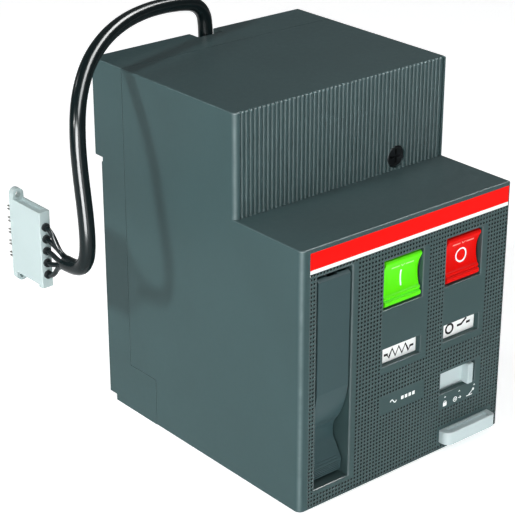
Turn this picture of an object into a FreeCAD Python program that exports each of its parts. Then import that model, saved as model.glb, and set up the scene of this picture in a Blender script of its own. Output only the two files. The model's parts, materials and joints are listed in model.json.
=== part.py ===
import FreeCAD, Part

import math
import os

# Stored-energy motor operator that bolts on the front of a 400 A moulded-case breaker.
# Millimetres, +Z up, the operating face looks along -Y, +X is the operator's right-hand side.
# Shapes are drawn with x from the middle of the width, y back from the front face and z up from
# the base. save() moves them to the row frame, whose origin is the middle of the base.

V = FreeCAD.Vector

# ---- driving dimensions -------------------------------------------------------------------------
WIDTH = 130.0
HEIGHT = 180.0
FRONT_HEIGHT = 130.0  # top of the low front block
STEP_DEPTH = 45.0  # the ribbed upper block stands this far behind the front face
DEPTH_TOP = 152.5  # back of the upper block
DEPTH_LOW = 147.5  # back of the lower block, which carries the mounting plate
SHELF_Z = 131.0  # height at which the back steps
SLIDE_PROUD = 5.5  # how far the padlock slide stands out of the face
WALL = 2.5
HALF = WIDTH / 2
INNER = HALF - WALL
ORIGIN_SHIFT = V(0, -(DEPTH_TOP - SLIDE_PROUD) / 2, 0)

SEAM_TOP = 128.4  # depth of the seam between front housing and rear frame
SEAM_FOOT = 107.5  # its depth near the base
SEAM_FOOT_Z = 25.0
FRONT_FOOT = 0.3  # the front housing stands this much clear of what the rear frame rests on
FIT = 0.06  # radial clearance of a running fit
EDGE_R = 0.8  # rounding of the housings' outer edges
SEAM_GROOVE = 0.35  # width and depth of the line along the seam
RIB_PITCH, RIB_R, RIB_COUNT = 2.48, 0.95, 50  # upright half-round ribs on the upper front
RIB_FIELD = (-61.8, 63.4)  # x of the shallow field that the ribs stand in

FACE_LEFT, FACE_RIGHT = -60.0, 64.4  # fascia plate
FACE_BOTTOM, FACE_TOP = 1.0, 129.4
FACE_THICK = 3.0

# charging lever and its gear train (y, z of each axis)
LEVER_AXIS = (5.0, 107.0)
MODULE = 1.0
SECTOR_TEETH, FREEWHEEL_TEETH = 56, 24
GEAR_TEETH, PINION_TEETH = 46, 24
CENTRE = MODULE * (SECTOR_TEETH + FREEWHEEL_TEETH) / 2
CAM_AXIS = (LEVER_AXIS[0] + 0.96 * CENTRE, LEVER_AXIS[1] - 0.28 * CENTRE)
MESH_ANGLE = math.degrees(math.atan2(-0.28, 0.96))  # sector to freewheel pinion
DRIVE_CENTRE = MODULE * (GEAR_TEETH + PINION_TEETH) / 2
DRIVE_ANGLE = 30.0
DRIVE_AXIS = (
    CAM_AXIS[0] + DRIVE_CENTRE * math.cos(math.radians(DRIVE_ANGLE)),
    CAM_AXIS[1] + DRIVE_CENTRE * math.sin(math.radians(DRIVE_ANGLE)),
)
LEVER_SWING = 50.0
SHAFT_R = 5.0

# spring charging
CAM_LOW, CAM_LIFT, CAM_TURN = 8.0, 14.0, 300.0
ROLLER_R = 5.5
POST_OFFSET = 20.0
POST_R = 4.0
BASE_TOP = 12.0
CROSS_LOW, CROSS_HIGH = 63.0, 71.0
MID_X = -21.0  # middle between the two mechanism plates
ROLLER_Z = CAM_AXIS[1] - CAM_LOW - ROLLER_R - 0.5

# toggle carriage
ROD_X, ROD_Y, ROD_R = 38.0, 128.0, 4.0
CARRIAGE_LIFT = 26.0

# operating elements on the face: (x low, x high, z low, z high)
WELL = (-55.7, -35.0, 9.0, 115.5)
WELL_DEPTH = 16.0
GREEN = (-15.5, 9.0, 87.2, 111.5)
RED = (24.0, 47.5, 87.2, 111.5)
CHARGE_WINDOW = (-15.0, 9.0, 58.3, 67.3)
STATE_WINDOW = (24.5, 48.0, 58.3, 67.0)
SELECTOR_WINDOW = (24.0, 47.5, 30.5, 41.7)
SLIDE = (25.0, 58.3, 4.2, 10.7)
BUTTON_GAP = 1.0
BRACKET_Y = 18.0
STEM_R = 3.0
STEM_END = 23.8
LATCH_AXIS = (34.0, 84.0)
FLAG_DROP = 10.0

SCREW_X, SCREW_Z = 34.0, 136.5  # captive fixing screw
CABLE_R = 3.7
WIRE_R = 1.3
PLUG_X = (-115.0, -109.0)
PLUG_Y = (126.5, 152.0)
PLUG_Z = (84.0, 121.0)
PLUG_HOLES = [89.5 + 6.0 * i for i in range(5)]

# cable route from the exit to the end of the sleeve, in the drawing frame
CABLE_ROUTE = [
    (1, 148.5, 176),
    (1, 148.5, 183),
    (0, 148.5, 190.5),
    (-5.5, 148.2, 195.8),
    (-14, 147, 198),
    (-27, 145, 199.5),
    (-42, 141.5, 200),
    (-58, 136, 199),
    (-74, 129, 195.5),
    (-89, 120.5, 188.5),
    (-101, 111, 177),
    (-107, 104, 161.5),
    (-108, 101, 145),
    (-109, 97, 129),
    (-110, 94.5, 115.5),
    (-110.5, 95.5, 106),
    (-111, 101.5, 100),
    (-111, 112, 100),
]


# ---- helpers ------------------------------------------------------------------------------------
def box(x0, x1, y0, y1, z0, z1):
    return Part.makeBox(x1 - x0, y1 - y0, z1 - z0, V(x0, y0, z0))


def cyl_x(centre, r, x0, x1):
    return Part.makeCylinder(r, x1 - x0, V(x0, centre[0], centre[1]), V(1, 0, 0))


def cyl_y(x, z, r, y0, y1):
    return Part.makeCylinder(r, y1 - y0, V(x, y0, z), V(0, 1, 0))


def cyl_z(x, y, r, z0, z1):
    return Part.makeCylinder(r, z1 - z0, V(x, y, z0), V(0, 0, 1))


def prism_x(points, x0, x1):
    """A plate with a straight-sided outline of (y, z) points."""
    corners = [V(x0, y, z) for y, z in points]
    return Part.Face(Part.makePolygon(corners + corners[:1])).extrude(V(x1 - x0, 0, 0))


def fuse(shapes):
    return shapes[0].multiFuse(shapes[1:]).removeSplitter() if len(shapes) > 1 else shapes[0]


def cut(shape, tools):
    return shape.cut(tools)


def edges_at(shape, test):
    return [e for e in shape.Edges if test(e)]


def straight(edge, axis):
    """True for a straight edge that runs along axis 0, 1 or 2."""
    if len(edge.Vertexes) != 2 or not isinstance(edge.Curve, Part.Line):
        return False
    run = edge.Vertexes[1].Point - edge.Vertexes[0].Point
    return abs(abs(run[axis]) - run.Length) < 1e-6


def rounded(shape, radius, test):
    """shape with the edges that pass the test rounded."""
    found = edges_at(shape, test)
    return shape.makeFillet(radius, found) if found else shape


def corner_at(edge, x=None, y=None, z=None):
    """True where the edge's middle lies at every coordinate that is given."""
    middle = edge.CenterOfMass
    wanted = ((middle.x, x), (middle.y, y), (middle.z, z))
    return all(want is None or abs(have - want) < 0.02 for have, want in wanted)


def bent_path(points):
    """Straight runs joined by tangent arcs, each as large as its two runs allow, and the radii."""
    spots = [V(*p) for p in points]
    edges, radii, start = [], [], spots[0]
    for before, corner, after in zip(spots, spots[1:], spots[2:]):
        a, b = corner - before, after - corner
        half = a.getAngle(b) / 2
        reach = 0.45 * min(a.Length, b.Length)
        radius = reach / math.tan(half)
        first = corner - a.normalize() * reach
        last = corner + b.normalize() * reach
        towards = (first + last) * 0.5 - corner
        towards.normalize()
        middle = corner + towards * (radius / math.cos(half) - radius)
        edges.append(Part.LineSegment(start, first).toShape())
        edges.append(Part.Arc(first, middle, last).toShape())
        radii.append(radius)
        start = last
    edges.append(Part.LineSegment(start, spots[-1]).toShape())
    return Part.Wire(edges), radii


def tube(points, r, label=None):
    """A round solid along a bent path. label prints its radii and how its volume compares."""
    path, radii = bent_path(points)
    heading = V(*points[1]) - V(*points[0])
    ring = Part.Wire(Part.makeCircle(r, V(*points[0]), heading))
    solid = path.makePipeShell([ring], True, False)
    if label:
        share = solid.Volume / (math.pi * r * r * path.Length)
        print(label, "length", round(path.Length, 1), "volume share", round(share, 4))
        print(label, "radii", [round(radius, 1) for radius in radii])
    return solid


def coil(mean_r, wire_r, length, turns):
    """A compression spring's coil, standing on the origin along +Z."""
    pitch = (length - 2 * wire_r) / turns
    path = Part.makeHelix(pitch, pitch * turns, mean_r)
    ring = Part.Wire(Part.makeCircle(wire_r, V(mean_r, 0, 0), V(0, mean_r, pitch / (2 * math.pi))))
    spring = Part.Wire(path).makePipeShell([ring], True, True)
    spring.translate(V(0, 0, wire_r))
    return spring


def involute(angle):
    return math.tan(angle) - angle


def half_tooth(radius, teeth):
    """Half the angle of an involute tooth at this radius, with backlash."""
    pressure = math.radians(20)
    backlash = 0.12
    pitch_r = MODULE * teeth / 2
    base_r = pitch_r * math.cos(pressure)
    at = math.acos(base_r / max(radius, base_r))
    return math.pi / (2 * teeth) - backlash / (2 * pitch_r) + involute(pressure) - involute(at)


def gear(centre, teeth, x0, x1, first_tooth, arc=None):
    """A spur gear about an X axis. first_tooth is the angle, from +Y towards +Z, of one tooth's
    middle. arc limits the teeth to angles between its two values, for a sector."""
    pitch_r = MODULE * teeth / 2
    root, tip = pitch_r - 1.2 * MODULE, pitch_r + 0.95 * MODULE
    steps = [root, pitch_r - 0.5 * MODULE, pitch_r, pitch_r + 0.5 * MODULE, tip]
    points = []
    for i in range(teeth):
        middle = math.radians(first_tooth) + 2 * math.pi * i / teeth
        if arc and not arc[0] <= math.degrees(middle) <= arc[1]:
            continue
        flank = [(r, -half_tooth(r, teeth)) for r in steps]
        flank += [(r, half_tooth(r, teeth)) for r in reversed(steps)]
        for r, side in flank:
            turn = middle + side
            points.append((centre[0] + r * math.cos(turn), centre[1] + r * math.sin(turn)))
    if arc:
        points.append(centre)
    return prism_x(points, x0, x1)


def save(name, shape):
    """Writes one node, in the row frame."""
    if isinstance(shape, list):
        shape = Part.makeCompound(shape)
    moved = shape.copy()
    moved.translate(ORIGIN_SHIFT)
    if not moved.isValid():
        print("NOT VALID", name)
    for solid in moved.Solids:
        if solid.Volume <= 0:
            print("BAD VOLUME", name, solid.Volume)
    moved.exportStep("parts/" + name + ".step")


def at_corners(xs, zs):
    return [(x, z) for x in xs for z in zs]


# screws that hold the rear frame to the front housing, and the plate to the rear frame
HOUSING_SCREWS = at_corners((-56.5, 56.5), (33.0, 171.0))
PLATE_SCREWS = at_corners((-57.5, 57.5), (24.0, 108.0))
MOUNT_HOLES = at_corners((-50.0, 50.0), (14.0, 114.0))
MOUNT_HOLE_R = 2.75
BRACKET_POSTS = at_corners((16.5, 54.0), (91.0, 108.0))


# ---- housings -----------------------------------------------------------------------------------
def wall_boss(x, z, r, y0, y1):
    """A round boss tied to the side wall beside it."""
    wall = math.copysign(INNER + 0.5, x)
    web = box(min(x, wall), max(x, wall), y0, y1, z - 1.5, z + 1.5)
    return [cyl_y(x, z, r, y0, y1), web]


def front_housing():
    outer = fuse([soft_block(0, FRONT_HEIGHT), soft_block(STEP_DEPTH, HEIGHT)])

    hollow = [
        rib_field(),
        box(-INNER, INNER, 5.6, 200, FRONT_FOOT + WALL, FRONT_HEIGHT - WALL),
        box(-INNER, INNER, STEP_DEPTH + WALL, 200, FRONT_HEIGHT - WALL - 1, HEIGHT - WALL),
        box(-100, 100, SEAM_FOOT, 200, -1, SEAM_FOOT_Z),
    ]
    pocket = box(FACE_LEFT - 0.1, FACE_RIGHT + 0.1, -1, 3.1, FACE_BOTTOM - 0.1, FACE_TOP + 0.1)
    opening = box(-57.5, 61.5, 3, 6, FRONT_FOOT + WALL, 125.5)
    shell = cut(outer, hollow + [pocket, opening])

    bosses = []
    for x, z in HOUSING_SCREWS:
        bosses += wall_boss(x, z, 4.5, 104, SEAM_TOP)
    cup = cyl_y(SCREW_X, SCREW_Z, 8.0, STEP_DEPTH + 1, 56)
    shell = fuse([shell, cup] + bosses + ribs())

    holes = [cyl_y(x, z, 2.0, 110, SEAM_TOP + 1) for x, z in HOUSING_SCREWS]
    holes.append(cyl_y(SCREW_X, SCREW_Z, 5.6, STEP_DEPTH - 1, 52.6))
    holes.append(cyl_y(SCREW_X, SCREW_Z, 3.0, STEP_DEPTH, 60))
    return cut(shell, holes + seam_groove())


def seam_groove():
    """A fine groove in the outer skin along the seam with the rear frame."""
    skin = HALF - SEAM_GROOVE
    top = HEIGHT - SEAM_GROOVE
    grooves = [box(-HALF - 1, HALF + 1, SEAM_TOP - SEAM_GROOVE, SEAM_TOP + 1, top, HEIGHT + 1)]
    for side in (-1, 1):
        near, far = sorted((side * skin, side * (HALF + 1)))
        for y, low, high in ((SEAM_TOP, SEAM_FOOT_Z, HEIGHT), (SEAM_FOOT, 0, SEAM_FOOT_Z)):
            grooves.append(box(near, far, y - SEAM_GROOVE, y + 0.01, low, high))
        ledge = SEAM_FOOT_Z + SEAM_GROOVE
        grooves.append(box(near, far, SEAM_FOOT, SEAM_TOP, SEAM_FOOT_Z - 0.01, ledge))
    return grooves


def soft_block(y, top):
    """A block of the front housing's outline, from its front face at y, with rounded edges."""
    block = box(-HALF, HALF, y, SEAM_TOP, FRONT_FOOT, top)
    block = rounded(block, 3.0, lambda e: straight(e, 2) and corner_at(e, x=-HALF, y=y))
    block = rounded(block, EDGE_R, lambda e: straight(e, 2) and corner_at(e, x=HALF, y=y))
    return rounded(block, EDGE_R, lambda e: corner_at(e, z=top) and not corner_at(e, y=SEAM_TOP))


def rib_field():
    """The shallow field of the upper front, open at its top."""
    x0, x1 = RIB_FIELD
    return box(x0, x1, STEP_DEPTH - 1, STEP_DEPTH + RIB_R, FRONT_HEIGHT, HEIGHT + 1)


def ribs():
    """Half-round upright bars with tapered tops, centred in the field."""
    taper = 0.5
    y = STEP_DEPTH + RIB_R
    first = sum(RIB_FIELD) / 2 - RIB_PITCH * (RIB_COUNT - 1) / 2
    bars = []
    for i in range(RIB_COUNT):
        x = first + i * RIB_PITCH
        top = Part.makeCone(RIB_R, RIB_R - taper, taper, V(x, y, HEIGHT - taper), V(0, 0, 1))
        bars.append(cyl_z(x, y, RIB_R, FRONT_HEIGHT - 0.5, HEIGHT - taper).fuse(top))
    return bars


def rear_frame():
    foot_y, foot_z = 141.4, 3.3
    upper = box(-HALF, HALF, SEAM_TOP, DEPTH_TOP, SHELF_Z, HEIGHT)
    upper = rounded(upper, EDGE_R, lambda e: straight(e, 2) and corner_at(e, y=DEPTH_TOP))
    upper = rounded(upper, EDGE_R, lambda e: corner_at(e, z=HEIGHT) and not corner_at(e, y=SEAM_TOP))
    lower = box(-HALF, HALF, SEAM_TOP, DEPTH_LOW, foot_z, SHELF_Z)
    lower = rounded(lower, EDGE_R, lambda e: straight(e, 2) and corner_at(e, y=DEPTH_LOW))
    outer = fuse(
        [
            upper,
            lower,
            box(-HALF, HALF, SEAM_FOOT, foot_y, 0, SEAM_FOOT_Z),
            box(-HALF, HALF, SEAM_TOP, foot_y, 0, SHELF_Z),
        ]
    )
    drip = box(-100, 100, DEPTH_LOW - 1.5, 200, 128.3, SHELF_Z)
    hollow = [
        box(-INNER, INNER, 100, DEPTH_TOP - WALL, SHELF_Z, HEIGHT - WALL),
        box(-INNER, INNER, 100, 200, foot_z + WALL, 126),
        box(-INNER, INNER, 100, foot_y - WALL, WALL, 20),
        drip,
    ]
    shell = cut(outer, hollow)
    tongue_x, tongue_y = INNER - 0.2, SEAM_TOP - 4
    inside = box(-tongue_x + 1.5, tongue_x - 1.5, 100, 200, 0, HEIGHT - WALL - 1.7)
    boss_gaps = [
        box(min(x, 2 * x), max(x, 2 * x), 100, SEAM_TOP, z - 5, z + 9) for x, z in HOUSING_SCREWS
    ]
    tongue = cut(
        box(-tongue_x, tongue_x, tongue_y, SEAM_TOP + 1, SEAM_FOOT_Z + 3, HEIGHT - WALL - 0.2),
        [inside] + boss_gaps,
    )
    tie = box(-INNER - 0.5, INNER + 0.5, SEAM_TOP, SEAM_TOP + 1, SEAM_FOOT_Z + 3, HEIGHT - WALL + 0.5)
    tie = cut(tie, [box(-INNER + 1.7, INNER - 1.7, 100, 200, 0, HEIGHT - WALL - 1.7)])
    shelf = box(-INNER + 0.2, INNER - 0.2, 122, DEPTH_TOP - WALL, 126, SHELF_Z)
    shelf = cut(shelf, [drip])
    ledge = [
        box(-INNER - 0.5, -INNER + 3, 142.3, 145.4, 6, 127),
        box(INNER - 3, INNER + 0.5, 142.3, 145.4, 6, 127),
    ]
    pads = [box(x - 6, x + 6, ROD_Y - 6, ROD_Y + 6, WALL - 0.5, 8) for x in (-ROD_X, ROD_X)]
    bosses = []
    for x, z in HOUSING_SCREWS:
        bosses += wall_boss(x, z, 4.5, SEAM_TOP, DEPTH_TOP - 1 if z > SHELF_Z else 145.4)
    for x, z in PLATE_SCREWS:
        bosses += wall_boss(x, z, 3.5, SEAM_TOP + 2, 145.4)
    shell = fuse([shell, tongue, tie, shelf] + ledge + pads + bosses)

    holes = [cyl_y(x, z, 2.0, SEAM_TOP - 5, 200) for x, z in HOUSING_SCREWS]
    holes += [cyl_y(x, z, 3.6, 148.3 if z > SHELF_Z else 141.0, 200) for x, z in HOUSING_SCREWS]
    holes += [cyl_y(x, z, 1.5, SEAM_TOP + 4, 146) for x, z in PLATE_SCREWS]
    holes += [cyl_z(x, ROD_Y, ROD_R, 5.0, 9) for x in (-ROD_X, ROD_X)]
    holes += [cyl_z(x, ROD_Y, ROD_R, 125, 128) for x in (-ROD_X, ROD_X)]
    holes.append(cyl_y(SCREW_X, SCREW_Z, 3.0, 140, 200))
    holes.append(box(-6.5, 9.0, 144.3, 200, 157, 200))
    holes.append(box(-HALF - 1, HALF + 1, 149.5, 200, 120, 128.3))
    return cut(shell, holes)


def front_fascia():
    x0, x1, z0, z1 = WELL
    skin = 1.5
    plate = box(FACE_LEFT, FACE_RIGHT, 0, FACE_THICK, FACE_BOTTOM, FACE_TOP)
    well = box(x0 - skin, x1 + skin, 0, WELL_DEPTH + skin, z0 - skin, z1 + skin)
    ribs = [
        box(-18.4, -17.4, 2.5, 6.5, 45, 80),
        box(11.4, 12.4, 2.5, 6.5, 45, 80),
        box(21.0, 22.0, 2.5, 6.5, 45.5, 80),
        box(50.5, 51.5, 2.5, 6.5, 45.5, 80),
        box(5.0, 61.0, 2.5, 6.5, 27.0, 28.5),
        box(5.0, 61.0, 2.5, 6.5, 43.9, 45.0),
    ]
    posts = [cyl_y(x, z, 3.5, 2.5, BRACKET_Y) for x, z in BRACKET_POSTS]
    body = fuse([plate, well] + ribs + posts)
    openings = [
        box(x0, x1, -1, WELL_DEPTH, z0, z1),
        box(-49.2, -42.8, 9, WELL_DEPTH + 5, 74, 126),
    ]
    for window in (GREEN, RED, CHARGE_WINDOW, STATE_WINDOW, SELECTOR_WINDOW):
        openings.append(box(window[0], window[1], -1, FACE_THICK + 1, window[2], window[3]))
    openings.append(box(SLIDE[0] - 0.3, SLIDE[1] + 0.3, -1, 5, SLIDE[2] - 0.3, SLIDE[3] + 0.3))
    openings.append(cyl_x(LEVER_AXIS, 2.0, x0 - 5, x1 + 5))
    openings += [cyl_y(x, z, 1.3, 8, BRACKET_Y + 1) for x, z in BRACKET_POSTS]
    openings.append(box(-61.0, 64.0, -1, 0.4, 118.0, 128.0))
    return cut(body, openings)


# ---- charging lever -----------------------------------------------------------------------------
def charging_lever():
    x0, x1 = -54.9, -36.1
    face = [
        (0.3, 112.3),
        (0.3, 57.0),
        (1.9, 48.7),
        (4.2, 42.3),
        (6.4, 38.2),
        (9.0, 34.4),
        (9.8, 30.5),
        (9.4, 26.8),
        (7.7, 24.1),
        (5.3, 19.9),
        (3.7, 16.9),
        (4.0, 14.0),
        (4.2, 11.3),
    ]
    back = [(12.8, 11.3), (13.6, 22.0), (14.2, 31.0), (13.0, 38.0), (10.0, 48.0), (8.0, 58.0)]
    back += [(8.0, 113.3), (1.8, 113.8)]
    outline = [V(x0, y, z) for y, z in face]
    scoop = Part.BSplineCurve()
    scoop.interpolate(outline[1:11])
    lines = [Part.makeLine(outline[0], outline[1]), scoop.toShape()]
    rest = outline[10:] + [V(x0, y, z) for y, z in back] + outline[:1]
    lines += [Part.makeLine(a, b) for a, b in zip(rest, rest[1:])]
    grip = Part.Face(Part.Wire(lines)).extrude(V(x1 - x0, 0, 0))
    hollow = box(x0 + 2.2, x1 - 2.2, 4.0, 9.0, 59.0, 93.0)
    sector_slot = box(-49.0, -43.0, 1.5, 20, 96.0, 120)
    spring_slot = box(-41.5, -37.3, 1.8, 20, 96.0, 120)
    toe = [(12.0, 4.2), (13.0, 4.1), (14.0, 4.0), (15.0, 3.9), (16.0, 3.8), (17.6, 4.1), (18.8, 4.7)]
    ridges = [box(x0 + 1.2, x1 - 1.2, y - 1, y + 0.35, z, z + 0.5) for z, y in toe]
    lever = cut(grip, [hollow, sector_slot, spring_slot, cyl_x(LEVER_AXIS, 2.0 + FIT, x0, x1)])
    return cut(lever, ridges)


def lever_sector():
    spread = (MESH_ANGLE - 8.5, MESH_ANGLE + LEVER_SWING + 8.5)
    pitch = 360.0 / SECTOR_TEETH
    middle = MESH_ANGLE + round((spread[0] - MESH_ANGLE) / pitch) * pitch
    wedge = gear(LEVER_AXIS, SECTOR_TEETH, -48.5, -43.5, middle, spread)
    hub = cyl_x(LEVER_AXIS, 3.4, -48.5, -43.5)
    arm = prism_x([(2.2, 98.0), (7.9, 98.0), (9.5, 105.0), (2.2, 106.0)], -48.5, -43.5)
    window = cyl_x((LEVER_AXIS[0] + 14.5, LEVER_AXIS[1] + 3.0), 5.0, -50, -40)
    bore = cyl_x(LEVER_AXIS, 2.0 + FIT, -60, -40)
    return cut(fuse([wedge, hub, arm]), [window, bore])


def lever_return_spring():
    spring = coil(2.65, 0.35, 3.4, 4)
    spring.rotate(V(0, 0, 0), V(0, 1, 0), 90)
    spring.translate(V(-41.2, LEVER_AXIS[0], LEVER_AXIS[1]))
    return spring


def lever_pivot_pin():
    return cyl_x(LEVER_AXIS, 2.0, WELL[0] - 1.5, WELL[1] + 1.5)


# ---- camshaft group -----------------------------------------------------------------------------
def camshaft():
    shaft = cyl_x(CAM_AXIS, SHAFT_R, -50.5, -3.0)
    collar = cyl_x(CAM_AXIS, 7.0, -37.3, -36.0)
    grooves = []
    for x in (-50.0, -5.5):
        ring = cut(cyl_x(CAM_AXIS, 8, x, x + 1.0), [cyl_x(CAM_AXIS, 4.2, x - 1, x + 2)])
        grooves.append(ring)
    return cut(fuse([shaft, collar]), grooves)


def circlips():
    clips = []
    for x in (-50.0, -5.5):
        ring = cut(cyl_x(CAM_AXIS, 6.6, x + 0.05, x + 0.95), [cyl_x(CAM_AXIS, 4.2, x - 1, x + 2)])
        mouth = box(x - 1, x + 2, CAM_AXIS[0] - 2, CAM_AXIS[0] + 2, CAM_AXIS[1], CAM_AXIS[1] + 9)
        clips.append(cut(ring, [mouth]))
    return clips


def freewheel_pinion():
    opposite = MESH_ANGLE + 180.0 + 180.0 / FREEWHEEL_TEETH
    body = gear(CAM_AXIS, FREEWHEEL_TEETH, -48.5, -43.5, opposite)
    return cut(body, [cyl_x(CAM_AXIS, 8.0, -60, -40)])


def freewheel_clutch():
    ring = cyl_x(CAM_AXIS, 8.0 - FIT, -48.5, -43.5)
    return cut(ring, [cyl_x(CAM_AXIS, SHAFT_R, -60, -40)])


def charging_gear():
    wheel = gear(CAM_AXIS, GEAR_TEETH, -42.5, -37.5, DRIVE_ANGLE)
    holes = [cyl_x(CAM_AXIS, SHAFT_R, -60, -30)]
    for i in range(5):
        turn = math.radians(72 * i + 10)
        spot = (CAM_AXIS[0] + 14 * math.cos(turn), CAM_AXIS[1] + 14 * math.sin(turn))
        holes.append(cyl_x(spot, 4.0, -60, -30))
    return cut(wheel, holes)


def drive_pinion():
    facing = DRIVE_ANGLE + 180.0 + 180.0 / PINION_TEETH
    toothed = gear(DRIVE_AXIS, PINION_TEETH, -42.5, -37.5, facing)
    shaft = cyl_x(DRIVE_AXIS, 3.0, -44.0, -8.4)
    return fuse([toothed, shaft])


def spring_cam():
    """A snail cam: its radius grows evenly over CAM_TURN, then drops back."""
    steps = 60
    points = []
    for i in range(steps + 1):
        share = i / steps
        turn = math.radians(-90 - CAM_TURN * share)
        r = CAM_LOW + CAM_LIFT * share
        points.append((CAM_AXIS[0] + r * math.cos(turn), CAM_AXIS[1] + r * math.sin(turn)))
    for i in range(1, 10):
        turn = math.radians(-90 - CAM_TURN - (360 - CAM_TURN) * i / 10)
        r = CAM_LOW + CAM_LIFT * (1 - i / 10) ** 2
        points.append((CAM_AXIS[0] + r * math.cos(turn), CAM_AXIS[1] + r * math.sin(turn)))
    edge = [V(-24.0, y, z) for y, z in points]
    plate = Part.Face(Part.makePolygon(edge + edge[:1])).extrude(V(6, 0, 0))
    return cut(plate, [cyl_x(CAM_AXIS, SHAFT_R, -30, -10)])


def camshaft_bushes():
    bushes = []
    for x0, x1 in ((-35.5, -30.5), (-11.5, -6.5)):
        sleeve = cyl_x(CAM_AXIS, 7.0, x0 + 1.5, x1 - 1.5)
        inward = x1 - 1.5 if x0 < MID_X else x0
        flange = cyl_x(CAM_AXIS, 8.5, inward, inward + 1.5)
        bushes.append(cut(fuse([sleeve, flange]), [cyl_x(CAM_AXIS, SHAFT_R + FIT, x0 - 1, x1 + 1)]))
    return bushes


# ---- frame plates -------------------------------------------------------------------------------
STUDS = [(84.0, 84.0), (102.0, 20.0), (102.0, 52.0)]


def side_plate(x0, x1, flange_x):
    outline = [(23, 3), (108 - 1, 3), (107, 60), (92, 76), (92, 126), (50, 126), (46, 122), (23, 122)]
    plate = prism_x(outline, x0, x1)
    flange = box(min(flange_x, x0), max(flange_x, x1), 28, 100, 3, 5)
    windows = [cyl_x((82.0, 44.0), 13.0, x0 - 1, x1 + 1), cyl_x((43.4, 42.0), 15.0, x0 - 1, x1 + 1)]
    bores = [cyl_x(CAM_AXIS, 7.0, x0 - 1, x1 + 1), cyl_x(DRIVE_AXIS, 3.0 + FIT, x0 - 1, x1 + 1)]
    bores += [cyl_x(spot, 2.0, x0 - 1, x1 + 1) for spot in STUDS]
    middle = (flange_x + x0) / 2
    feet = [cyl_z(middle, y, 2.2, 0, 9) for y in (36, 92)]
    return cut(fuse([plate, flange]), windows + bores + feet)


def left_side_plate():
    return side_plate(-34.0, -32.0, -46.0)


def right_side_plate():
    plate = side_plate(-10.0, -8.0, 4.0)
    pin_hole = cyl_x(LATCH_AXIS, 2.0, -12, -6)
    screws = [cyl_x(spot, 1.5, -12, -6) for spot in motor_screw_spots()]
    return cut(plate, [pin_hole] + screws)


def motor_screw_spots():
    spots = []
    for i in range(3):
        turn = math.radians(120 * i + 90)
        spots.append((DRIVE_AXIS[0] + 12 * math.cos(turn), DRIVE_AXIS[1] + 12 * math.sin(turn)))
    return spots


def plate_studs():
    studs = []
    for spot in STUDS:
        middle = cyl_x(spot, 4.0, -32, -10)
        ends = [cyl_x(spot, 2.0, -35, -31), cyl_x(spot, 2.0, -11, -7)]
        studs.append(fuse([middle] + ends))
    return studs


# ---- charging springs ---------------------------------------------------------------------------
def post_spots():
    return [(MID_X, CAM_AXIS[0] - POST_OFFSET), (MID_X, CAM_AXIS[0] + POST_OFFSET)]


def spring_base():
    block = box(-32, -10, 23, CAM_AXIS[0] + 29, 6, BASE_TOP)
    return cut(block, [cyl_z(x, y, POST_R, 8, 20) for x, y in post_spots()])


def spring_guide_posts():
    return [cyl_z(x, y, POST_R, 8, 78) for x, y in post_spots()]


def closing_springs():
    springs = []
    for x, y in post_spots():
        spring = coil(6.2, 1.0, CROSS_LOW - BASE_TOP, 8)
        spring.translate(V(x, y, BASE_TOP))
        springs.append(spring)
    return springs


def spring_crosshead():
    half = 29.0
    bar = box(-31, -11, CAM_AXIS[0] - half, CAM_AXIS[0] + half, CROSS_LOW, CROSS_HIGH)
    bar = rounded(bar, 4.0, lambda e: straight(e, 2))
    ears = []
    for x in (-29.5, -15.5):
        ears.append(box(x, x + 3, CAM_AXIS[0] - 5, CAM_AXIS[0] + 5, CROSS_HIGH - 1, ROLLER_Z))
        ears.append(cyl_x((CAM_AXIS[0], ROLLER_Z), 5.0, x, x + 3))
    holes = [cyl_z(x, y, POST_R + FIT, 50, 90) for x, y in post_spots()]
    holes.append(cyl_x((CAM_AXIS[0], ROLLER_Z), 2.5, -40, 0))
    return cut(fuse([bar] + ears), holes)


def roller_axle():
    return cyl_x((CAM_AXIS[0], ROLLER_Z), 2.5, -29.5, -12.5)


def follower_roller():
    spot = (CAM_AXIS[0], ROLLER_Z)
    return cut(cyl_x(spot, ROLLER_R, -23.8, -18.2), [cyl_x(spot, 2.5 + FIT, -30, -10)])


# ---- motor --------------------------------------------------------------------------------------
def gear_head():
    case = cyl_x(DRIVE_AXIS, 16.0, -8.0, 6.0)
    case = rounded(case, 1.0, lambda e: abs(e.CenterOfMass.x - 6.0) < 0.01)
    bores = [cyl_x(DRIVE_AXIS, 3.0 + FIT, -9, -7.5)]
    return cut(case, bores + [cyl_x(spot, 1.5, -9, -3) for spot in motor_screw_spots()])


def charging_motor():
    can = cyl_x(DRIVE_AXIS, 15.0, 6.0, 43.0)
    can = rounded(can, 1.5, lambda e: abs(e.CenterOfMass.x - 43.0) < 0.01)
    cap = cyl_x(DRIVE_AXIS, 5.0, 42.0, 46.0)
    y, z = DRIVE_AXIS
    flats = [box(0, 50, y - 20, y + 20, low, low + 5) for low in (z + 13, z - 18)]
    tags = [box(43, 47.5, at - 0.4, at + 0.4, z - 2, z + 2) for at in (y - 9, y + 9)]
    return fuse([cut(can, flats), cap] + tags)


def motor_screws():
    screws = []
    for spot in motor_screw_spots():
        head = cyl_x(spot, 2.8, -12.0, -10.0)
        screws.append(fuse([head, cyl_x(spot, 1.5, -10.5, -3.0)]))
    return screws


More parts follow.
